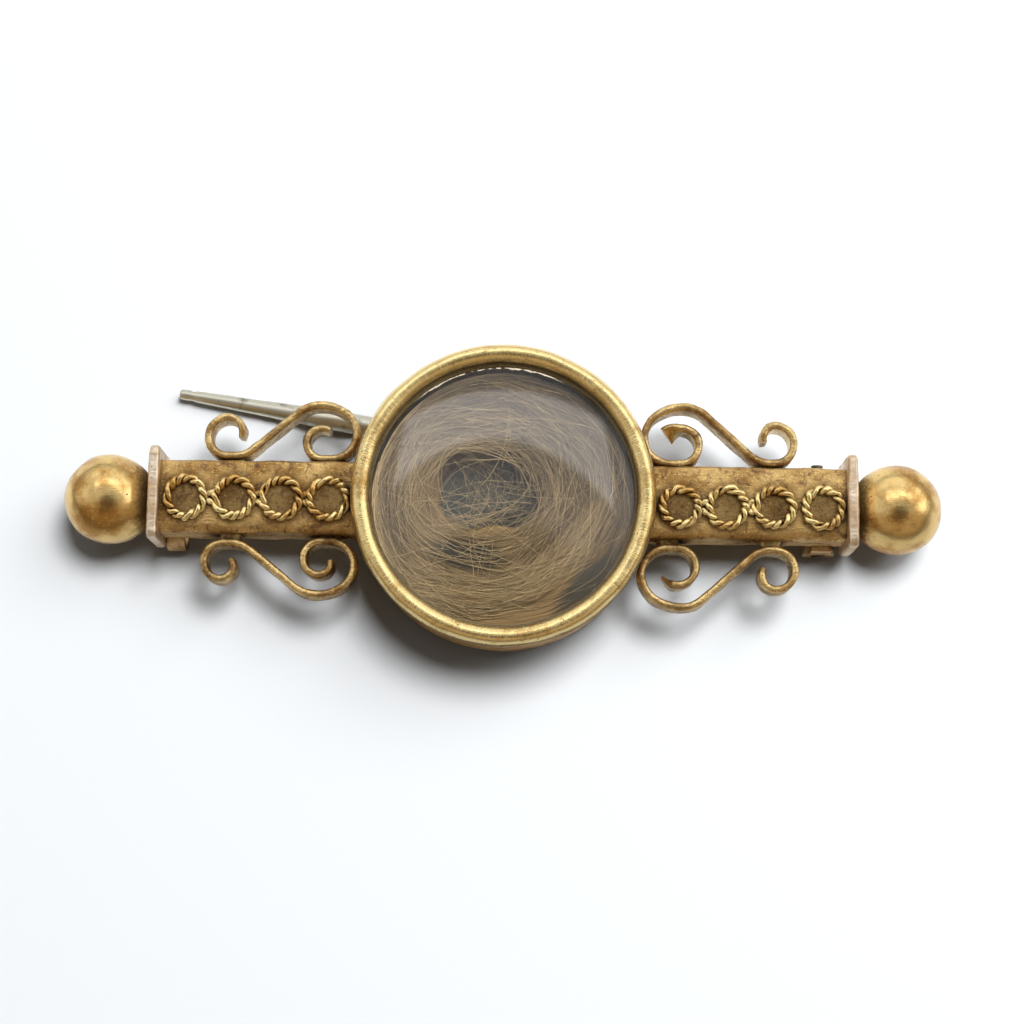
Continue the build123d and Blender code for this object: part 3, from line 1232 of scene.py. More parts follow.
class Palette:
    """Every finish, made once."""

    def __init__(self) -> None:
        """Builds the materials."""
        self.bezel = WornGold(
            "polished_worn_gold", bright="F8DC98", dull="C49C58", fresh="FFF5C4", stain="80552F",
            dirt_and_shade_colour="3E2618", roughness=0.21, roughness_spread=0.12, dull_from=0.5, dull_to=0.72,
            grain=0.13, grain_share=0.9, stain_size=0.45,
            stain_from=0.56, stain_soft=0.12, pit_gap=0.28, pit_radius=0.17, pit_share=0.38,
            relief=0.02, recess_share=0.72, kept_share=0.85, round_scratches=True,
        ).material()
        self.case = WornGold(
            "case_gold", bright="D6A862", dull="94682F", stain="6A482C", roughness=0.34,
        ).material()
        self.bar = WornGold(
            "bar_gold", bright="DCB676", dull="A67D45", fresh="FFE698", stain="6C4E42",
            roughness=0.34, dull_from=0.4, dull_to=0.66, grain=0.11, grain_share=1.0,
            stain_size=0.5, stain_share=0.75, stain_from=0.48, stain_soft=0.2, pit_gap=0.26,
            pit_share=0.5, relief=0.05,
        ).material()
        # The recess darkens the twists of the wire: painted shade, with their grime
        self.rope = WornGold(
            "bright_wire_gold", bright="FFE6A4", dull="CEA25C", roughness=0.14, recess=0.55,
            recess_share=1.0, stain_share=0.4, pit_share=0.1,
        ).material()
        self.scroll = WornGold(
            "scroll_gold", bright="E8C888", dull="A27C48", fresh="FFEBA8", stain="5E4234",
            roughness=0.24, grain_share=0.8, stain_size=0.8, stain_from=0.48, stain_soft=0.2,
            stain_share=0.6, pit_gap=0.3, pit_share=0.35, relief=0.03,
        ).material()
        self.plate = WornGold(
            "rose_worn_gold", bright="F3E0C6", dull="D2B492", stain="94705A", roughness=0.34,
            stain_from=0.6, recess_share=0.7, pit_gap=0.3, pit_share=0.25, relief=0.03,
        ).material()
        # The wide recess darkens each ball beside its plate: painted shade, with its grime
        self.ball = WornGold(
            "ball_gold", bright="EFCC86", dull="BE8E4C", roughness=0.17, roughness_spread=0.12,
            recess=1.8, pit_share=0.12, stain_from=0.62, relief=0.01,
        ).material()
        self.fastening = WornGold(
            "hinge_and_catch_gold", bright="DDB98A", dull="94703F", stain="5A4030",
            roughness=0.38,
        ).material()
        self.steel = DullSteel().material()
        self.dark_steel = DullSteel("dark_steel", colour="6A6154", stain="2F2A24").material()
        self.glass = CrystalGlass().material()
        self.hair = LooseHair().material()
        self.packed_hair = PackedHair(THIN_SPOTS).material()
        self.card = DarkCard().material()
        self.paper = PalePaper().material()


# The locket


@dataclass(frozen=True)
class HairKind:
    """How one kind of loose hair lies. Lengths in mm, angles in radians."""

    count: int
    nearest: float
    farthest: float
    stray: float
    follow: float
    bend: tuple[float, float]
    length: tuple[float, float]
    lift: tuple[float, float]
    shade: tuple[float, float]
    thickness: float
    sway: float
    seed: int
    thins: bool = True


@dataclass
class Locket:
    """The locket's case, bezel, crystal, hair and backing. Sizes in mm.

    The hair is its packed coil, combed hairs on it, hairs that cross them, a few stray ones on
    top, and darker ones down in the opening.
    """

    palette: Palette
    bezel_radius: float = 8.7
    bezel_width: float = 1.05
    bezel_back: float = 5.28
    bezel_front: float = 6.63
    bezel_side: float = 5.88
    lip_height: float = 6.12
    lip_under: float = 6.0
    ledge: float = 5.58
    groove_radius: float = 7.95
    skirt_radius: float = 7.76
    skirt_bore: float = 7.46
    skirt_back: float = 4.63
    case_radius: float = 8.4
    case_bore: float = 7.8
    case_back: float = 1.504
    case_floor: float = 2.004
    case_rim: float = 5.25
    rim_radius: float = 8.47
    rim_thickness: float = 0.3
    case_edge: float = 0.7
    glass_radius: float = 7.92
    glass_opening: float = 7.62
    glass_back: float = 5.61
    glass_edge: float = 5.97
    glass_front: float = 7.37
    glass_under: float = 6.95
    glass_under_radius: float = 7.43
    backing_back: float = 2.034
    backing_front: float = 2.534
    backing_radius: float = 7.75
    hair_back: float = 2.564
    hair_radius: float = 7.43
    hair_edge: float = 4.664
    hair_front: float = 5.764
    hole_half_length: float = 3.3
    hole_half_width: float = 2.4
    hole_taper: float = 0.8
    hole_x: float = -1.08
    hole_y: float = 0.45
    hole_stretch: float = 1.22
    hole_squareness: float = 2.6
    hole_wobble: float = 0.3
    hole_slump: float = 0.6
    coil_ripple: float = 0.1
    wall: float = 7.4
    wall_bend: float = 0.7
    hair_points: int = 12
    thin_luck: float = 0.1
    lid_shift: float = 0.17
    painted_shade_right: float = 0.028
    painted_shade_far: float = 0.042
    hair_kinds: dict[str, HairKind] = field(
        default_factory=lambda: {
            "combed_hairs": HairKind(
                count=3300, nearest=3.0, farthest=8.6, stray=0.2, follow=1.0, bend=(-0.6, 1.6),
                length=(2.5, 11.0), lift=(-0.12, 0.03), shade=(0.05, 0.5), thickness=0.026,
                sway=0.4, seed=5,
            ),
            "crossing_hairs": HairKind(
                count=300, nearest=2.0, farthest=7.4, stray=0.5, follow=0.9, bend=(1.0, 6.0),
                length=(3.0, 8.0), lift=(-0.03, 0.08), shade=(0.3, 0.85), thickness=0.026,
                sway=0.3, seed=9,
            ),
            "stray_hairs": HairKind(
                count=110, nearest=0.0, farthest=6.2, stray=math.pi, follow=0.0,
                bend=(4.0, 16.0), length=(1.8, 7.0), lift=(0.0, 0.15), shade=(0.35, 0.9),
                thickness=0.022, sway=0.3, seed=23, thins=False,
            ),
            "inner_hairs": HairKind(
                count=170, nearest=0.1, farthest=2.6, stray=1.5, follow=0.5, bend=(0.8, 4.0),
                length=(1.5, 5.5), lift=(-2.4, -0.4), shade=(0.0, 0.4), thickness=0.018,
                sway=0.3, seed=31, thins=False,
            ),
        }
    )

    def build(self) -> list[bpy.types.Object]:
        """Makes and dresses all the locket's pieces.

        Returns:
            The pieces.
        """
        lid = [self.bezel(), self.crystal()]
        for piece in lid:
            piece.data.transform(Matrix.Translation((0, self.lid_shift * MM, 0)))
        pieces = [self.case(), *lid, self.backing(), self.coil()]
        tree = sweep_tree(Section.WIRE, closed=False)
        return pieces + [self.hairs(name, kind, tree) for name, kind in self.hair_kinds.items()]

    def case(self) -> bpy.types.Object:
        """The round case with its thin rim, open at the front.

        Returns:
            The piece.
        """
        radius, rim, top = self.case_radius, self.rim_radius, self.case_rim
        soft = 0.04
        quarter = [math.pi / 2 * i / 8 for i in range(9)]
        corner = [
            (
                radius - self.case_edge * (1 - math.sin(a)),
                self.case_back + self.case_edge * (1 - math.cos(a)),
            )
            for a in quarter
        ]
        wall = np.linspace(self.case_back + self.case_edge, top - self.rim_thickness, 8)[1:]
        profile = [
            (0.0, self.case_back),
            *[(radius * share, self.case_back) for share in (0.2, 0.4, 0.6, 0.8)],
            *corner,
            *[(radius, height) for height in wall],
            (rim - soft, top - self.rim_thickness),
            (rim, top - self.rim_thickness + soft),
            (rim, top - soft),
            (rim - soft, top),
            (self.case_bore, top),
            (self.case_bore, self.case_floor),
            (0.0, self.case_floor),
        ]
        piece = piece_from("locket_case", *turned(profile, 256), self.palette.case)
        batter(piece, size=2.5, depth=0.05, seed=11)
        return finish_piece(piece, "brooch", "gold", "frame")

    def bezel(self) -> bpy.types.Object:
        """The half-round rim over the glass, knocked a little out of true.

        Returns:
            The piece.
        """
        half = self.bezel_width / 2
        crown = self.bezel_radius - half
        steps = 18
        profile: Profile = []
        for i in range(steps + 1):
            angle = math.pi * (1 - i / steps)
            low = self.lip_height if angle > math.pi / 2 else self.bezel_side
            rise = (self.bezel_front - low) * math.sin(angle)
            profile.append((crown + half * math.cos(angle), low + rise))
        profile += [
            (self.bezel_radius - 0.02, self.bezel_back + 0.25),
            (self.rim_radius + 0.04, self.bezel_back + 0.02),
            (self.rim_radius - 0.05, self.bezel_back),
            (self.skirt_radius, self.bezel_back),
            (self.skirt_radius, self.skirt_back),
            (self.skirt_bore, self.skirt_back),
            (self.skirt_bore, self.ledge),
            (self.groove_radius, self.ledge),
            (self.groove_radius, self.lip_under),
            (crown - half, self.lip_under),
        ]
        piece = piece_from("bezel_rim", *turned(profile, 384, closed=True), self.palette.bezel)
        points = places_of(piece)
        reach = np.hypot(points[:, 0], points[:, 1])
        # The rim is rubbed bright on top. Its darker outer side is painted shade, and its darker
        # edge at the glass is grime with painted shade
        outside = np.clip((reach - self.bezel_radius + 0.12) / 0.1, 0, 1) * (points[:, 2] < 6.2)
        inside = np.clip((self.bezel_radius - self.bezel_width + 0.1 - reach) / 0.1, 0, 1)
        store_dirt_and_shade(piece, 0.9 * outside + 0.6 * inside)
        batter(piece, size=1.6, depth=0.05, seed=2)
        return finish_piece(piece, "brooch", "gold", "bezel")

    def crystal(self) -> bpy.types.Object:
        """The domed glass, hollow underneath.

        Returns:
            The piece.
        """
        outer = dome(self.glass_opening, self.glass_edge, self.glass_front, 40)
        under = dome(self.glass_under_radius, self.glass_back, self.glass_under, 36)
        profile = [
            *outer,
            (self.glass_radius - 0.03, self.glass_edge),
            (self.glass_radius, self.glass_edge - 0.03),
            (self.glass_radius, self.glass_back),
            *under[::-1],
        ]
        piece = piece_from("domed_crystal", *turned(profile, 256), self.palette.glass)
        return finish_piece(piece, "brooch", "glass", "glass")

    def backing(self) -> bpy.types.Object:
        """The covered card on the case's floor.

        Returns:
            The piece.
        """
        radius, front = self.backing_radius, self.backing_front
        profile = [
            (0.0, self.backing_back),
            (radius - 0.05, self.backing_back),
            (radius, self.backing_back + 0.05),
            (radius, front - 0.1),
            (radius - 0.1, front),
            *[(radius * (1 - i / 12), front) for i in range(1, 13)],
        ]
        piece = piece_from("covered_card", *turned(profile, 128), self.palette.card)
        return finish_piece(piece, "brooch", "backing", "backing_disc")

    def coil(self) -> bpy.types.Object:
        """The coil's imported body, with its opening off the locket's axis.

        Returns:
            The piece.
        """
        around, across = 256, 48
        rise = self.hair_front - self.hair_edge
        hole = Vector((self.hole_x, self.hole_y))
        vertices = []
        for i in range(around):
            angle = 2 * math.pi * i / around
            out = Vector((math.cos(angle), math.sin(angle)))
            wobble = 1 + self.hole_wobble * noise.noise(Vector((out.x * 1.3, out.y * 1.3, 4.2)))
            power = self.hole_squareness
            squared = abs(out.x) ** power / self.hole_half_length**power
            squared += abs(out.y) ** power / self.hole_half_width**power
            radius = wobble * squared ** (-1 / power)
            inner = hole + out * radius
            floor = hole + out * radius * self.hole_taper
            outer = out * self.hair_radius
            vertices.append((outer.x, outer.y, self.hair_back))
            vertices.append((outer.x, outer.y, self.hair_edge - 0.15))
            for j in range(across + 1):
                t = j / across
                spot = outer.lerp(inner, t)
                share = min(1.0, spot.length / self.hair_radius)
                height = self.hair_edge + rise * (1 - share**2)
                height -= self.hole_slump * max(0.0, (t - 0.7) / 0.3) ** 2
                ripple = noise.noise(Vector((t * 9 + 0.6 * out.x, out.x * 2.2, out.y * 2.2)))
                height += self.coil_ripple * ripple - self.coil_ripple
                vertices.append((spot.x, spot.y, height))
            vertices.append((floor.x, floor.y, self.hair_back + 0.3))
            vertices.append((floor.x, floor.y, self.hair_back))
        count = len(vertices) // around
        mesh = bpy.data.meshes.new("hair_coil_body")
        faces = ring_faces(around, count, closed=True)
        mesh.from_pydata((np.array(vertices) * MM).tolist(), [], faces)
        self.unwrap(mesh, around, count)
        shape = bmesh.new()
        shape.from_mesh(mesh)
        bmesh.ops.recalc_face_normals(shape, faces=shape.faces)
        shape.to_mesh(mesh)
        shape.free()
        mesh.materials.append(self.palette.packed_hair)
        mesh.shade_smooth()
        piece = placed("hair_coil_body", mesh)
        return finish_piece(piece, "brooch", "hair", "hair_coil")

    @staticmethod
    def unwrap(mesh: bpy.types.Mesh, around: int, count: int) -> None:
        """Gives the coil its UV map, along which the combing runs.

        Args:
            mesh: the coil's mesh, whose points stand in columns.
            around: columns round the coil.
            count: points in a column.
        """
        layer = mesh.uv_layers.new(name="round_coil")
        for polygon in mesh.polygons:
            columns = [mesh.loops[k].vertex_index // count for k in polygon.loop_indices]
            wraps = max(columns) - min(columns) > 1
            for k, column in zip(polygon.loop_indices, columns):
                row = mesh.loops[k].vertex_index % count
                column = around if wraps and column == 0 else column
                layer.data[k].uv = (column / around, row / count)

    def hairs(
        self, name: str, kind: HairKind, tree: bpy.types.NodeTree
    ) -> bpy.types.Object:
        """One kind of loose hair, each hair a thin curved wire.

        Args:
            name: the piece's name.
            kind: how the hairs lie.
            tree: the tree that sweeps them.

        Returns:
            The piece.
        """
        rng = np.random.default_rng(kind.seed)
        out = np.sqrt(rng.uniform(kind.nearest**2, kind.farthest**2, kind.count))
        around = rng.uniform(0, 2 * math.pi, kind.count)
        aim = around + math.pi / 2 + rng.uniform(-kind.stray, kind.stray, kind.count)
        bend = np.maximum(0.6, kind.follow * out + rng.uniform(*kind.bend, kind.count))
        length = rng.uniform(*kind.length, kind.count)
        lift = rng.uniform(*kind.lift, kind.count)
        shade = rng.uniform(*kind.shade, kind.count)
        phase = rng.uniform(0, 2 * math.pi, (kind.count, 2))
        luck = rng.uniform(0, 1, kind.count)
        along = np.linspace(-0.5, 0.5, self.hair_points)[None, :]
        heading, turn = aim[:, None], along * (length / bend)[:, None]
        x = self.hole_x + (out * np.cos(around))[:, None] * self.hole_stretch
        y = self.hole_y + (out * np.sin(around))[:, None] / self.hole_stretch
        x = x + bend[:, None] * (np.sin(heading + turn) - np.sin(heading))
        y = y - bend[:, None] * (np.cos(heading + turn) - np.cos(heading))
        wave = 0.12 * kind.sway * np.sin(along * 9 + phase[:, :1])
        x += wave * np.cos(heading + math.pi / 2)
        y += wave * np.sin(heading + math.pi / 2)
        lines = np.stack([x, y, np.zeros_like(x)], axis=-1)
        # The noise vector reads the module's own seed, which is otherwise the clock's
        noise.seed_set(kind.seed)
        for line in lines.reshape(-1, 3):
            pull = noise.noise_vector(Vector((line[0] * 0.3, line[1] * 0.3, kind.seed)))
            line[:2] += np.array(pull[:2]) * kind.sway * 1.6
        for i, (a, b) in enumerate(lines[:, self.hair_points // 2, :2]):
            shade[i] += 0.6 * noise.noise(Vector((a * 0.55, b * 0.55, kind.seed)))
            # Painted shade: each hair is darker to the right and towards the far side
            shade[i] -= self.painted_shade_right * a + self.painted_shade_far * b
        shade = np.clip(shade, 0, 1)
        if kind.thins:
            keep = self.left_by_thin_spots(lines, luck)
            lines, lift, shade, phase = lines[keep], lift[keep], shade[keep], phase[keep]
        self.settle(lines, lift)
        bow = 1 - (2 * along) ** 2
        lines[..., 2] += 0.05 * bow * np.sin(along * 5 + phase[:, 1:])
        every = np.ones(lines.shape[:2])
        taper = np.clip(1.6 - np.abs(2 * along) ** 6, 0.6, 1.0) * every
        base = line_mesh(name, lines, taper=taper, shade=shade[:, None] * every)
        sizes = {"Width": kind.thickness, "Depth": kind.thickness}
        piece = grow(name, base, tree, sizes, self.palette.hair)
        return finish_piece(piece, "brooch", "hair")

    def left_by_thin_spots(self, lines: np.ndarray, luck: np.ndarray) -> np.ndarray:
        """Picks the hairs that stay where the hair is thin: those that barely enter it.

        Args:
            lines: hairs by points by XYZ, in mm.
            luck: a number from 0 to 1 for each hair. A low one keeps it anyway.

        Returns:
            Whether each hair stays.
        """
        keep = np.ones(len(lines), bool)
        for spot in THIN_SPOTS:
            turn_back = math.radians(-spot.turn)
            dx, dy = lines[..., 0] - spot.x, lines[..., 1] - spot.y
            u = (dx * math.cos(turn_back) - dy * math.sin(turn_back)) / spot.half_length
            v = (dx * math.sin(turn_back) + dy * math.cos(turn_back)) / spot.half_width
            inside = (np.hypot(u, v) < 1.0).sum(axis=1)
            keep &= (inside < 2) | (luck < self.thin_luck)
        return keep

    def settle(self, lines: np.ndarray, lift: np.ndarray) -> None:
        """Bends hairs that reach the wall along it, and lays all over the coil's low dome.

        Args:
            lines: hairs by points by XYZ, in mm, which change.
            lift: each hair's height over the dome, in mm.
        """
        reach = np.maximum(1e-6, np.hypot(lines[..., 0], lines[..., 1]))
        free = self.wall - self.wall_bend
        over = np.maximum(0, reach - free)
        kept = np.minimum(reach, free) + self.wall_bend * (1 - np.exp(-over / self.wall_bend))
        lines[..., :2] *= (kept / reach)[..., None]
        rise = self.hair_front - self.hair_edge
        lines[..., 2] = self.hair_edge + rise * (1 - (kept / self.wall) ** 2) + lift[:, None]


# The bar

# The middles of the twisted rings, on both arms
RING_PLACES = (
    (-18.15, -0.15), (-15.38, -0.15), (-12.70, -0.15), (-9.98, -0.15),
    (10.12, -0.33), (12.80, -0.33), (15.50, -0.30), (18.30, -0.30),
)


@dataclass
class Bar:
    """The two arms, the end plates and the balls. Sizes in mm."""

    palette: Palette
    plate_inner: float = 19.65
    width: float = 4.2
    depth: float = 2.6
    back: float = 2.6
    near_edge: float = 0.45
    far_edge: float = 0.22
    back_edge: float = 0.08
    crown: float = 0.2
    inside_case: float = 7.9
    plate_width: float = 5.4
    plate_shift: float = 0.12
    plate_thickness: float = 0.62
    plate_back: float = 0.7
    plate_front: float = 5.8
    plate_corner: float = 0.4
    plate_back_corner: float = 1.5
    ball_radius: float = 2.625
    ball_x: float = 22.775
    ball_z: float = 3.25

    def build(self) -> list[bpy.types.Object]:
        """Makes and dresses the arms, plates and balls.

        Returns:
            The pieces.
        """
        pieces = []
        for side in Side:
            pieces += [self.arm(side), self.plate(side), self.ball(side)]
        return pieces

    def arm(self, side: Side) -> bpy.types.Object:
        """One box-section arm, from inside the case's wall to the plate, its front crowned.

        Args:
            side: the end it points to.

        Returns:
            The piece.
        """
        edges = [self.far_edge, self.near_edge, self.back_edge, self.back_edge]
        outline = densified(rounded_rectangle(self.width, self.depth, edges, steps=6), 0.16)
        heights = outline[:, 1].copy()
        front = heights > 0
        heights[front] -= self.crown * (outline[front, 0] / (self.width / 2)) ** 2
        middle = self.back + self.depth / 2
        stations = np.linspace(self.inside_case, self.plate_inner + 0.1, 90)
        sections = [
            np.column_stack(
                [np.full(len(outline), side.value * x), outline[:, 0], middle + heights]
            )
            for x in stations
        ]
        name = f"arm_{side.name.lower()}"
        piece = piece_from(name, *lofted(np.array(sections)), self.palette.bar)
        self.darken_by_rings(piece)
        batter(piece, size=1.5, depth=0.06, seed=5 + side.value)
        batter(piece, size=0.45, depth=0.025, seed=8 + side.value)
        return finish_piece(piece, "brooch", "gold", "frame")

    @staticmethod
    def darken_by_rings(piece: bpy.types.Object) -> None:
        """Marks where an arm's front is darker: inside the rings and beside them.

        Args:
            piece: the arm.
        """
        points = places_of(piece)
        outside, inside, front = 1.8, 1.0, 4.6
        reach = np.full(len(points), math.inf)
        for x, y in RING_PLACES:
            reach = np.minimum(reach, np.hypot(points[:, 0] - x, points[:, 1] - y))
        dirt_and_shade = np.clip((outside - reach) / 0.4, 0, 1) * (0.7 + 0.3 * (reach < inside))
        dirt_and_shade *= points[:, 2] > front
        store_dirt_and_shade(piece, dirt_and_shade)

    def plate(self, side: Side) -> bpy.types.Object:
        """One end plate, its edges worn round and slightly bent.

        Args:
            side: the end it stands at.

        Returns:
            The piece.
        """
        height = self.plate_front - self.plate_back
        middle = (self.plate_front + self.plate_back) / 2
        worn = 0.1
        corners = [self.plate_corner] * 2 + [self.plate_back_corner] * 2
        edge = [(0.0, 2 * worn), (0.03, worn), (0.09, 0.3 * worn), (0.14, 0.0)]
        across = edge + [(self.plate_thickness * k / 4, 0.0) for k in (1, 2, 3)]
        across += [(self.plate_thickness - t, inset) for t, inset in edge[::-1]]
        outline = rounded_rectangle(self.plate_width, height, corners, steps=6)
        outline = densified(outline, 0.2)
        sections = []
        for offset, inset in across:
            x = np.full(len(outline), side.value * (self.plate_inner + offset))
            y = outline[:, 0] * (1 - 2 * inset / self.plate_width) + self.plate_shift
            z = outline[:, 1] * (1 - 2 * inset / height) + middle
            sections.append(np.column_stack([x, y, z]))
        name = f"end_plate_{side.name.lower()}"
        piece = piece_from(name, *lofted(np.array(sections)), self.palette.plate)
        batter(piece, size=2.5, depth=0.05, seed=21 + side.value)
        batter(piece, size=0.4, depth=0.035, seed=27 + side.value)
        return finish_piece(piece, "brooch", "gold", "frame")

    def ball(self, side: Side) -> bpy.types.Object:
        """One ball with a few knocks in it.

        Args:
            side: the end it sits on.

        Returns:
            The piece.
        """
        angles = [math.pi * i / 90 for i in range(91)]
        profile = [
            (self.ball_radius * math.sin(a), -self.ball_radius * math.cos(a)) for a in angles
        ]
        vertices, faces = turned(profile, 180)
        vertices = vertices[:, [2, 0, 1]] * side.value
        vertices += np.array([side.value * self.ball_x, 0.0, self.ball_z])
        piece = piece_from(f"ball_{side.name.lower()}", vertices, faces, self.palette.ball)
        batter(piece, size=1.9, depth=0.06, seed=31 + side.value)
        batter(piece, size=0.7, depth=0.015, seed=41 + side.value)
        return finish_piece(piece, "brooch", "gold", "frame")


# What is soldered to the bar


@dataclass(frozen=True)
class ScrollShape:
    """How one scroll was bent, outwards and inwards from its outer solder point on the arm."""

    outer: tuple[Run, ...]
    inner: tuple[Run, ...]
    contact_x: float = 15.4
    stand: float = 2.5
    inner_tip: float = 0.8
    inner_twist: float = 0.0


SCROLLS = {
    (Side.CATCH, Flank.FAR): ScrollShape(
        outer=(Run(0.40, 0), Run(1.80, -90), Run(1.80, -90), Run(1.35, -98), Run(0.25, 0)),
        inner=(
            Run(1.20, 41), Run(3.35, 0), Run(1.40, -41), Run(1.57, -35), Run(1.44, -55),
            Run(2.36, -90), Run(0.45, 0), Run(1.45, -90), Run(1.40, -90), Run(0.45, -30),
        ),
        contact_x=15.56,
    ),
    (Side.CATCH, Flank.NEAR): ScrollShape(
        outer=(Run(0.35, 0), Run(1.75, -90), Run(1.55, -90), Run(1.35, -110), Run(0.25, -20)),
        inner=(
            Run(1.27, 39), Run(3.30, 0), Run(1.40, -39), Run(1.57, -35), Run(1.44, -55),
            Run(2.20, -90), Run(0.50, 0), Run(1.60, -90), Run(1.45, -90), Run(1.25, -110),
        ),
        contact_x=15.66,
        stand=2.56,
    ),
    (Side.HINGE, Flank.FAR): ScrollShape(
        outer=(Run(0.25, 0), Run(1.80, -90), Run(1.70, -90), Run(1.20, -100), Run(0.20, 0)),
        inner=(
            Run(1.27, 42), Run(3.45, 0), Run(1.40, -42), Run(1.67, -35), Run(1.60, -55),
            Run(2.36, -90), Run(0.55, 0), Run(1.75, -90), Run(1.55, -90), Run(0.95, -45),
        ),
        inner_tip=0.75,
        inner_twist=50,
    ),
    (Side.HINGE, Flank.NEAR): ScrollShape(
        outer=(Run(0.20, 0), Run(1.85, -90), Run(1.76, -90), Run(1.50, -110), Run(0.20, 0)),
        inner=(
            Run(1.27, 42), Run(3.65, 0), Run(1.40, -42), Run(1.67, -35), Run(1.60, -55),
            Run(2.40, -90), Run(0.50, 0), Run(1.70, -90), Run(1.60, -90), Run(1.10, -65),
        ),
        stand=2.58,
        inner_tip=0.3,
    ),
}


@dataclass
class Trimmings:
    """The rings of twisted wire and the scrolls. Sizes in mm."""

    palette: Palette
    ring_z: float = 5.34
    ring_radius: float = 1.04
    ring_twists: int = 6
    ring_spread: float = 0.03
    wire_diameter: float = 0.3
    wire_offset: float = 0.14
    knot_reach: float = 2.78
    knot_length: float = 0.32
    knot_width: float = 0.08
    knot_apart: float = 0.24
    strip: float = 0.44
    strip_depth: float = 1.75
    strip_corner: float = 0.19
    strip_front: float = 4.4
    strip_wave: float = 0.06
    strip_tail: int = 9
    bar_half_width: float = 2.1
    seam_length: float = 1.2
    seam_depth: float = 1.2

    def build(self) -> list[bpy.types.Object]:
        """Makes and dresses the rings and the scrolls.

        Returns:
            The pieces.
        """
        tree = sweep_tree(Section.STRIP, closed=False)
        scrolls = [self.scroll(side, flank, tree) for side in Side for flank in Flank]
        return [self.rings(), *scrolls]

    def rings(self) -> bpy.types.Object:
        """All the rings of two twisted wires on both arms, none quite like its neighbour.

        Returns:
            The piece.
        """
        rng = np.random.default_rng(4)
        steps = np.linspace(0, 2 * math.pi, 168, endpoint=False)
        lines = []
        for x, y in RING_PLACES:
            start, lean = rng.uniform(0, 2 * math.pi), rng.uniform(0, 2 * math.pi)
            radius = self.ring_radius * rng.uniform(1 - self.ring_spread, 1 + self.ring_spread)
            oval = rng.uniform(-self.ring_spread, self.ring_spread)
            uneven = 0.6 * np.sin(2 * steps + lean) + 0.4 * np.sin(3 * steps + 2 * lean)
            for half in (0.0, math.pi):
                twist = self.ring_twists * steps + uneven + start + half
                out = radius * (1 + oval * np.cos(2 * (steps - lean)))
                out = out + self.wire_offset * np.cos(twist)
                height = self.ring_z + self.wire_offset * np.sin(twist)
                lines.append(
                    np.stack([x + out * np.cos(steps), y + out * np.sin(steps), height], axis=-1)
                )
        for (x, y), (next_x, next_y) in zip(RING_PLACES, RING_PLACES[1:]):
            if next_x - x < self.knot_reach:
                for rise in (-1, 1):
                    lines.append(self.knot((x + next_x) / 2, (y + next_y) / 2, rise, steps, rng))
        base = line_mesh("wire_rings", np.array(lines), closed=True)
        tree = sweep_tree(Section.WIRE, closed=True)
        sizes = {"Width": self.wire_diameter, "Depth": self.wire_diameter}
        piece = grow("wire_rings", base, tree, sizes, self.palette.rope)
        batter(piece, size=0.35, depth=0.06, seed=3)
        return finish_piece(piece, "brooch", "gold", "frame")

    def knot(
        self, x: float, y: float, rise: int, steps: np.ndarray, rng: np.random.Generator
    ) -> np.ndarray:
        """A small flattened loop of wire where two rings are joined.

        Args:
            x: the joint's place along the arm.
            y: its place across the arm.
            rise: 1 for the loop at the joint's far side, -1 for the near one.
            steps: the angles of the loop's points.
            rng: the source of its small unevenness.

        Returns:
            The loop's points, closed.
        """
        turn = math.radians(rise * 28 + rng.uniform(-14, 14))
        long, wide = self.knot_length / 2 * np.cos(steps), self.knot_width / 2 * np.sin(steps)
        along = x + rng.uniform(-0.05, 0.05) + long * math.cos(turn) - wide * math.sin(turn)
        across = y + rise * self.knot_apart + long * math.sin(turn) + wide * math.cos(turn)
        return np.stack([along, across, self.ring_z - 0.03 + 0.04 * np.cos(steps)], axis=-1)

    def scroll(self, side: Side, flank: Flank, tree: bpy.types.NodeTree) -> bpy.types.Object:
        """One scroll, bent from one strip and soldered to the arm's side at two places.

        Args:
            side: the arm it is on.
            flank: the side of the arm.
            tree: the tree that sweeps the strip.

        Returns:
            The piece.
        """
        shape = SCROLLS[side, flank]
        start = (-shape.contact_x, shape.stand)
        away = path_of(shape.outer, start, 180, 0.1)[::-1]
        towards = path_of(shape.inner, start, 0, 0.1)
        line = np.concatenate([away, towards[1:]])
        line *= [-side.value, flank.value]
        heights = np.full(len(line), self.strip_front - self.strip_depth / 2)
        bend = np.linspace(0, 9, len(line)) + 2 * side.value + flank.value
        heights += self.strip_wave * np.sin(bend)
        taper = np.ones(len(line))
        tail = self.strip_tail
        taper[-tail:] = np.linspace(1.0, shape.inner_tip, tail)
        taper[:5] = np.linspace(0.8, 1.0, 5)
        twist = np.zeros(len(line))
        twist[-tail:] = np.linspace(0.0, math.radians(shape.inner_twist), tail)
        name = f"scroll_{side.name.lower()}_{flank.name.lower()}"
        path = np.column_stack([line, heights])[None]
        base = line_mesh(name, path, taper=taper[None], twist=twist[None])
        sizes = {"Width": self.strip, "Depth": self.strip_depth, "Corner": self.strip_corner}
        strip = grow(name + "_strip", base, tree, sizes, self.palette.scroll)
        batter(strip, size=0.8, depth=0.04, seed=50 + side.value * 2 + flank.value)
        inner_x = towards[np.argmin(np.where(towards[:, 0] > -11.5, towards[:, 1], 9.0)), 0]
        seams = [
            self.seam(-side.value * x, flank, shape.stand) for x in (-shape.contact_x, inner_x)
        ]
        piece = join(name, [strip, *seams])
        return finish_piece(piece, "brooch", "gold", "frame")

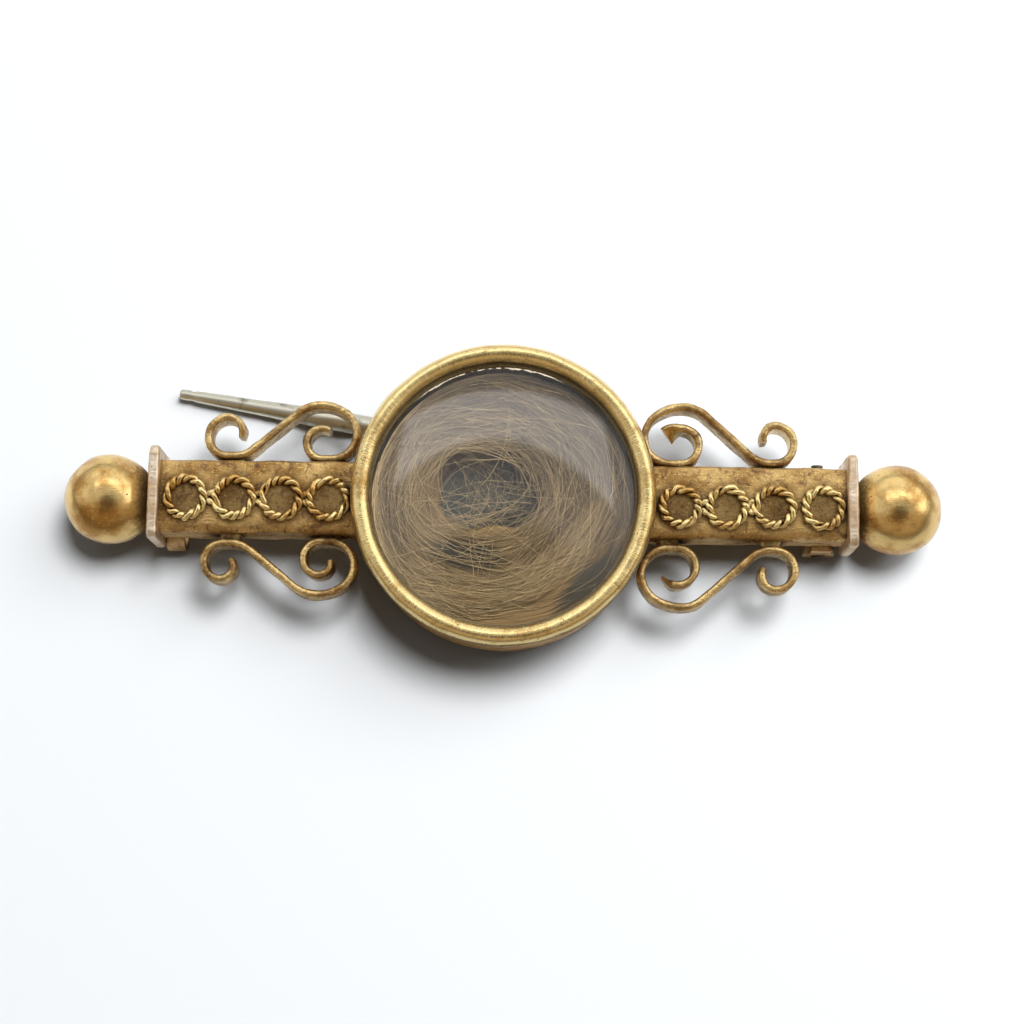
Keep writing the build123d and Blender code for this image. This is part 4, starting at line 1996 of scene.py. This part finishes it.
    def seam(self, x: float, flank: Flank, stand: float) -> bpy.types.Object:
        """A run of solder between a scroll and the arm's side.

        Args:
            x: its place along the bar.
            flank: the side of the arm.
            stand: the strip's middle from the bar's middle.

        Returns:
            The piece.
        """
        low, high = self.bar_half_width - 0.1, stand
        outline = rounded_rectangle(self.seam_length, self.seam_depth, [0.25] * 4, steps=4)
        middle = self.strip_front - self.strip_depth / 2
        sections = []
        for share, scale in ((0.0, 1.15), (0.25, 1.0), (0.6, 0.9), (1.0, 0.95)):
            y = np.full(len(outline), flank.value * (low + (high - low) * share))
            sections.append(
                np.column_stack([x + outline[:, 0] * scale, y, middle + outline[:, 1] * scale])
            )
        return piece_from("seam", *lofted(np.array(sections)), self.palette.scroll)


# The pin, its hinge and its catch


@dataclass
class Fastening:
    """The hinge's ears, the pin stem and the catch. Sizes in mm."""

    palette: Palette
    hinge_x: float = 18.55
    hinge_z: float = 0.95
    knuckle_radius: float = 0.95
    bore: float = 0.38
    arm_back: float = 2.6
    ear_width: float = 1.2
    south_ear: tuple[float, float] = (-2.4, -0.45)
    north_ear: tuple[float, float] = (1.25, 2.4)
    knuckle: tuple[float, float] = (-0.4, 1.2)
    root_y: float = 0.4
    bend_x: float = 16.05
    bend_y: float = 1.12
    bend_z: float = 0.9246
    tip_x: float = -19.4
    tip_y: float = 6.95
    tip_z: float = 0.568
    neck_radius: float = 0.45
    stem_radius: float = 0.6
    tip_radius: float = 0.3
    taper: float = 9.0
    nick: float = 0.06
    nick_place: float = 0.75
    catch_x: float = -19.1
    catch_width: float = 1.1
    catch_strip: float = 0.35

    def build(self) -> list[bpy.types.Object]:
        """Makes and dresses the ears, the pin stem and the catch, and dresses the rivet.

        Returns:
            The new pieces.
        """
        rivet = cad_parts["hinge_rivet"]
        rivet.data.materials.clear()
        rivet.data.materials.append(self.palette.dark_steel)
        return [self.ears(), self.stem(), self.catch()]

    def barrel(self, span: tuple[float, float], material: bpy.types.Material) -> bpy.types.Object:
        """A bored barrel along Y, with worn edges.

        Args:
            span: where it starts and ends along Y.
            material: its finish.

        Returns:
            The piece.
        """
        low, high = span
        soft = 0.06
        profile = [
            (self.bore, low),
            (self.knuckle_radius - soft, low),
            (self.knuckle_radius, low + soft),
            (self.knuckle_radius, high - soft),
            (self.knuckle_radius - soft, high),
            (self.bore, high),
        ]
        vertices, faces = turned(profile, 64, closed=True)
        vertices = vertices[:, [0, 2, 1]] + np.array([self.hinge_x, 0.0, self.hinge_z])
        return piece_from("barrel", vertices, faces, material)

    def ears(self) -> bpy.types.Object:
        """The two ears under the arm.

        Returns:
            The piece.
        """
        parts = []
        top, bottom = self.arm_back + 0.1, self.hinge_z + self.bore + 0.1
        for low, high in (self.south_ear, self.north_ear):
            parts.append(self.barrel((low, high), self.palette.fastening))
            outline = rounded_rectangle(self.ear_width, high - low - 0.02, [0.06] * 4, steps=3)
            outline += [self.hinge_x, (low + high) / 2]
            sections = [
                np.column_stack([outline, np.full(len(outline), z)])
                for z in np.linspace(bottom, top, 4)
            ]
            parts.append(piece_from("foot", *lofted(np.array(sections)), self.palette.fastening))
        return finish_piece(join("hinge_ears", parts), "brooch", "gold", "frame")

    def stem(self) -> bpy.types.Object:
        """The pin stem with its knuckle, its bend and its blunt nicked tip.

        Returns:
            The piece.
        """
        root = Vector((self.hinge_x, self.root_y, self.hinge_z))
        bend = Vector((self.bend_x, self.bend_y, self.bend_z))
        tip = Vector((self.tip_x, self.tip_y, self.tip_z))
        start = root.lerp(bend, 0.25)
        stations = [(start.lerp(bend, t), self.neck_radius) for t in (0.0, 0.2, 0.4, 0.55)]
        stations += [(start.lerp(bend, 0.8), 0.55), (bend, self.stem_radius)]
        length = (tip - bend).length
        along = (tip - bend).normalized()
        for k in range(1, 141):
            left = (1 - k / 140) * length
            share = max(0.0, 1 - left / self.taper)
            radius = self.stem_radius + (self.tip_radius - self.stem_radius) * share
            # A nick just behind the tip
            radius -= self.nick * math.exp(-(((left - self.nick_place) / 0.12) ** 2))
            stations.append((bend.lerp(tip, k / 140), radius))
        blunt = stations[-1][1]
        stations[-1] = (tip - along * 0.08, blunt)
        stations += [(tip - along * 0.02, blunt * 0.9), (tip, blunt * 0.72)]
        angles = np.linspace(0, 2 * math.pi, 32, endpoint=False)
        sections = []
        for k, (centre, radius) in enumerate(stations):
            before = stations[max(0, k - 1)][0]
            after = stations[min(len(stations) - 1, k + 1)][0]
            across = (after - before).normalized().cross(Vector((0, 0, 1))).normalized()
            above = across.cross((after - before).normalized())
            ring = np.outer(np.cos(angles), across) + np.outer(np.sin(angles), above)
            sections.append(np.array(centre) + radius * ring)
        shaft = piece_from("shaft", *lofted(np.array(sections)), self.palette.steel)
        batter(shaft, size=1.5, depth=0.02, seed=61)
        piece = join("pin_wire", [shaft, self.barrel(self.knuckle, self.palette.steel)])
        return finish_piece(piece, "pin", "steel", "pin_stem")

    def catch(self) -> bpy.types.Object:
        """The C catch under the arm, open at its curled end.

        Returns:
            The piece.
        """
        top = self.arm_back + 0.1
        radius = (top - self.catch_strip) / 2
        runs = (Run(1.7, 0), Run(math.pi * radius, 180), Run(1.5, 0), Run(0.45, 40))
        line = path_of(runs, (0.4, top - self.catch_strip / 2), 180, 0.1)
        base = line_mesh("c_catch", np.column_stack([line, np.zeros(len(line))])[None])
        piece = grow(
            "c_catch",
            base,
            sweep_tree(Section.STRIP, closed=False),
            {"Width": self.catch_strip, "Depth": self.catch_width, "Corner": 0.08},
            self.palette.fastening,
        )
        # Drawn flat as (y, z, across), so it is turned into place
        turn = Matrix(((0, 0, 1, self.catch_x * MM), (1, 0, 0, 0), (0, 1, 0, 0), (0, 0, 0, 1)))
        piece.data.transform(turn)
        return finish_piece(piece, "brooch", "gold", "frame")


# The studio


@dataclass(frozen=True)
class SoftBox:
    """A soft light in the sky, by its edges in x/z and y/z of the direction towards it.

    Its near edge bows towards the camera at the sides, and its far edge bows back.
    """

    left: float
    right: float
    near: float
    far: float
    strength: float
    near_bow: float = 0.0
    near_lean: float = 0.0
    far_bow: float = 0.0
    soft: float = 0.05

    def light(
        self,
        tree: bpy.types.NodeTree,
        across: bpy.types.NodeSocket,
        away: bpy.types.NodeSocket,
        above: bpy.types.NodeSocket,
    ) -> bpy.types.NodeSocket:
        """Adds the box's light.

        Args:
            tree: the world's tree.
            across: x/z of the direction.
            away: y/z of the direction.
            above: z of the direction.

        Returns:
            The box's strength in the direction.
        """
        squared = add_node(tree, MATH, {0: across, 1: across}, operation="MULTIPLY").outputs[0]
        bowed = add_node(
            tree, MATH, {0: squared, 1: self.near_bow, 2: away}, operation="MULTIPLY_ADD"
        ).outputs[0]
        bowed = add_node(
            tree, MATH, {0: across, 1: self.near_lean, 2: bowed}, operation="MULTIPLY_ADD"
        ).outputs[0]
        bent = add_node(
            tree, MATH, {0: squared, 1: self.far_bow, 2: away}, operation="MULTIPLY_ADD"
        ).outputs[0]
        edges = (
            (across, self.left, 1),
            (across, self.right, -1),
            (bowed, self.near, 1),
            (bent, self.far, -1),
            (above, 0.05, 1),
        )
        strength: object = self.strength
        for value, edge, sign in edges:
            ramp = {0: value, 1: edge - sign * self.soft, 2: edge + sign * self.soft}
            inside = add_node(tree, RAMP, ramp, interpolation_type="SMOOTHSTEP").outputs[0]
            strength = add_node(
                tree, MATH, {0: inside, 1: strength}, operation="MULTIPLY"
            ).outputs[0]
        return strength


@dataclass(frozen=True)
class Lamp:
    """A soft round lamp that faces the brooch, its turn counted from the far side clockwise."""

    name: str
    power: float
    elevation: float
    turn: float
    width: float
    distance: float = 0.45

    def build(self) -> None:
        """Puts the lamp in place."""
        data = bpy.data.lights.new(self.name, "AREA")
        data.shape = "DISK"
        data.size = self.width
        data.energy = self.power
        lamp = bpy.data.objects.new(self.name, data)
        bpy.context.scene.collection.objects.link(lamp)
        elevation, turn = math.radians(self.elevation), math.radians(self.turn)
        flat = math.cos(elevation)
        towards = Vector((flat * math.sin(turn), flat * math.cos(turn), math.sin(elevation)))
        lamp.location = towards * self.distance
        lamp.rotation_euler = towards.to_track_quat("Z", "Y").to_euler()
        # The soft boxes in the sky stand for the lamps in mirror images
        lamp.visible_glossy = False
        lamp.visible_transmission = False


@dataclass
class Studio:
    """The paper, the light and the camera, in metres and degrees. The sheet's sizes are in mm."""

    palette: Palette
    distance: float = 0.125
    tilt: float = 10.0
    roll: float = 0.78
    target: tuple[float, float, float] = (0.000512, -0.000753, 0.0052)
    frame_width: float = 0.05846
    # The main box, whose image veils the glass, then those far away, to the right and to the left
    boxes: tuple[SoftBox, ...] = (
        SoftBox(
            left=-0.74, right=0.74, near=0.52, far=1.0, strength=1.45, near_bow=0.62,
            near_lean=0.1, far_bow=0.3,
        ),
        SoftBox(left=-1.8, right=1.8, near=1.3, far=6.0, strength=0.45, soft=0.12),
        SoftBox(left=0.95, right=4.0, near=-0.5, far=1.6, strength=1.1, soft=0.3),
        SoftBox(left=-4.0, right=-1.3, near=-0.3, far=1.6, strength=0.2, soft=0.2),
    )
    sky_low: float = 0.74
    scattered: float = 0.34
    sky_high: float = 0.62
    room_low: float = 0.2
    room_high: float = 0.46
    room_tint: str = "FFE9CC"
    backdrop: str = "D9DBDD"
    overhead: tuple[float, float, float] = (0.0, -0.31, 0.951)
    overhead_from: float = 0.9
    overhead_to: float = 0.965
    overhead_shade: float = 0.28
    daylight: str = "FBFCFF"
    sheet_half: float = 4000.0
    sheet_below: float = -0.02
    lamps: tuple[Lamp, ...] = (
        Lamp("high_lamp", power=4.1, elevation=70.5, turn=36.0, width=0.18),
        Lamp("low_lamp", power=2.5, elevation=50.0, turn=54.0, width=0.34),
    )

    def build(self) -> None:
        """Sets the paper, the lights and the camera."""
        self.paper()
        self.world()
        for lamp in self.lamps:
            lamp.build()
        self.camera()
        view = bpy.context.scene.view_settings
        view.view_transform = "Standard"
        view.look = "None"

    def paper(self) -> None:
        """The sheet that the brooch lies on."""
        half, below = self.sheet_half, self.sheet_below
        corners = [(-half, -half, below), (half, -half, below), (half, half, below)]
        corners.append((-half, half, below))
        piece_from("paper_sheet", np.array(corners), [(0, 1, 2, 3)], self.palette.paper)

    def world(self) -> None:
        """A pale studio with soft boxes, a warmer dimmer room behind, and a dark camera."""
        world = bpy.data.worlds.new("studio")
        bpy.context.scene.world = world
        world.use_nodes = True
        tree = world.node_tree
        tree.nodes.clear()
        towards = add_node(tree, "ShaderNodeTexCoord").outputs["Generated"]
        parts = add_node(tree, "ShaderNodeSeparateXYZ", {0: towards}).outputs
        height = add_node(tree, MATH, {0: parts[2], 1: 0.05}, operation="MAXIMUM").outputs[0]
        across = add_node(tree, MATH, {0: parts[0], 1: height}, operation="DIVIDE").outputs[0]
        away = add_node(tree, MATH, {0: parts[1], 1: height}, operation="DIVIDE").outputs[0]
        sky = add_node(
            tree, RAMP, {0: parts[2], 1: 0.1, 2: 0.9, 3: self.sky_low, 4: self.sky_high}
        ).outputs[0]
        for box in self.boxes:
            light = box.light(tree, across, away, parts[2])
            sky = add_node(tree, MATH, {0: sky, 1: light}, operation="ADD").outputs[0]
        far = add_node(
            tree, RAMP, {0: parts[1], 1: -0.45, 2: 0.05}, interpolation_type="SMOOTHSTEP"
        ).outputs[0]
        room = add_node(
            tree, RAMP, {0: parts[2], 1: 0.05, 2: 0.45, 3: self.room_low, 4: self.room_high}
        ).outputs[0]
        sky = add_node(tree, MIX, {0: far, 2: room, 3: sky}, data_type="FLOAT").outputs[0]
        tint = add_node(
            tree, MIX, {0: far, 6: srgb(self.room_tint), 7: srgb(self.daylight)}, data_type="RGBA"
        ).outputs[2]
        facing = add_node(tree, VECTOR, {0: towards, 1: self.overhead}, operation="DOT_PRODUCT")
        shade = add_node(
            tree,
            RAMP,
            {
                0: facing.outputs["Value"],
                1: self.overhead_from,
                2: self.overhead_to,
                3: 1.0,
                4: self.overhead_shade,
            },
            interpolation_type="SMOOTHSTEP",
        ).outputs[0]
        sky = add_node(tree, MATH, {0: sky, 1: shade}, operation="MULTIPLY").outputs[0]
        # The lamps do most of the lighting, so the room adds less than mirror images show
        matte = add_node(tree, "ShaderNodeLightPath").outputs["Is Diffuse Ray"]
        fill = add_node(tree, RAMP, {0: matte, 3: 1.0, 4: self.scattered}).outputs[0]
        sky = add_node(tree, MATH, {0: sky, 1: fill}, operation="MULTIPLY").outputs[0]
        light = add_node(tree, "ShaderNodeBackground", {"Color": tint, "Strength": sky})
        backdrop = add_node(tree, "ShaderNodeBackground", {"Color": srgb(self.backdrop)})
        seen = add_node(tree, "ShaderNodeLightPath").outputs["Is Camera Ray"]
        light = add_node(
            tree, "ShaderNodeMixShader", {0: seen, 1: light.outputs[0], 2: backdrop.outputs[0]}
        )
        add_node(tree, "ShaderNodeOutputWorld", {"Surface": light.outputs[0]})

    def camera(self) -> None:
        """The camera at the photograph's angle, almost straight above."""
        data = bpy.data.cameras.new("camera")
        data.sensor_width = 36.0
        data.lens = data.sensor_width * self.distance / self.frame_width
        data.clip_start = 0.005
        camera = bpy.data.objects.new("camera", data)
        bpy.context.scene.collection.objects.link(camera)
        turn = Matrix.Rotation(math.radians(self.tilt), 4, "X")
        turn @= Matrix.Rotation(math.radians(self.roll), 4, "Z")
        back = turn @ Vector((0, 0, self.distance))
        camera.matrix_world = Matrix.Translation(Vector(self.target) + back) @ turn
        bpy.context.scene.camera = camera


def main() -> None:
    """Builds the brooch and the studio, and reports each piece."""
    logging.basicConfig(level=logging.INFO, format="%(name)s: %(message)s")
    palette = Palette()
    for assembly in (Locket(palette), Bar(palette), Trimmings(palette), Fastening(palette)):
        for piece in assembly.build():
            faces = len(piece.data.polygons)
            LOG.info("%s: %s, %d faces", type(assembly).__name__, piece.name, faces)
    Studio(palette).build()


if __name__ == "__main__":
    main()
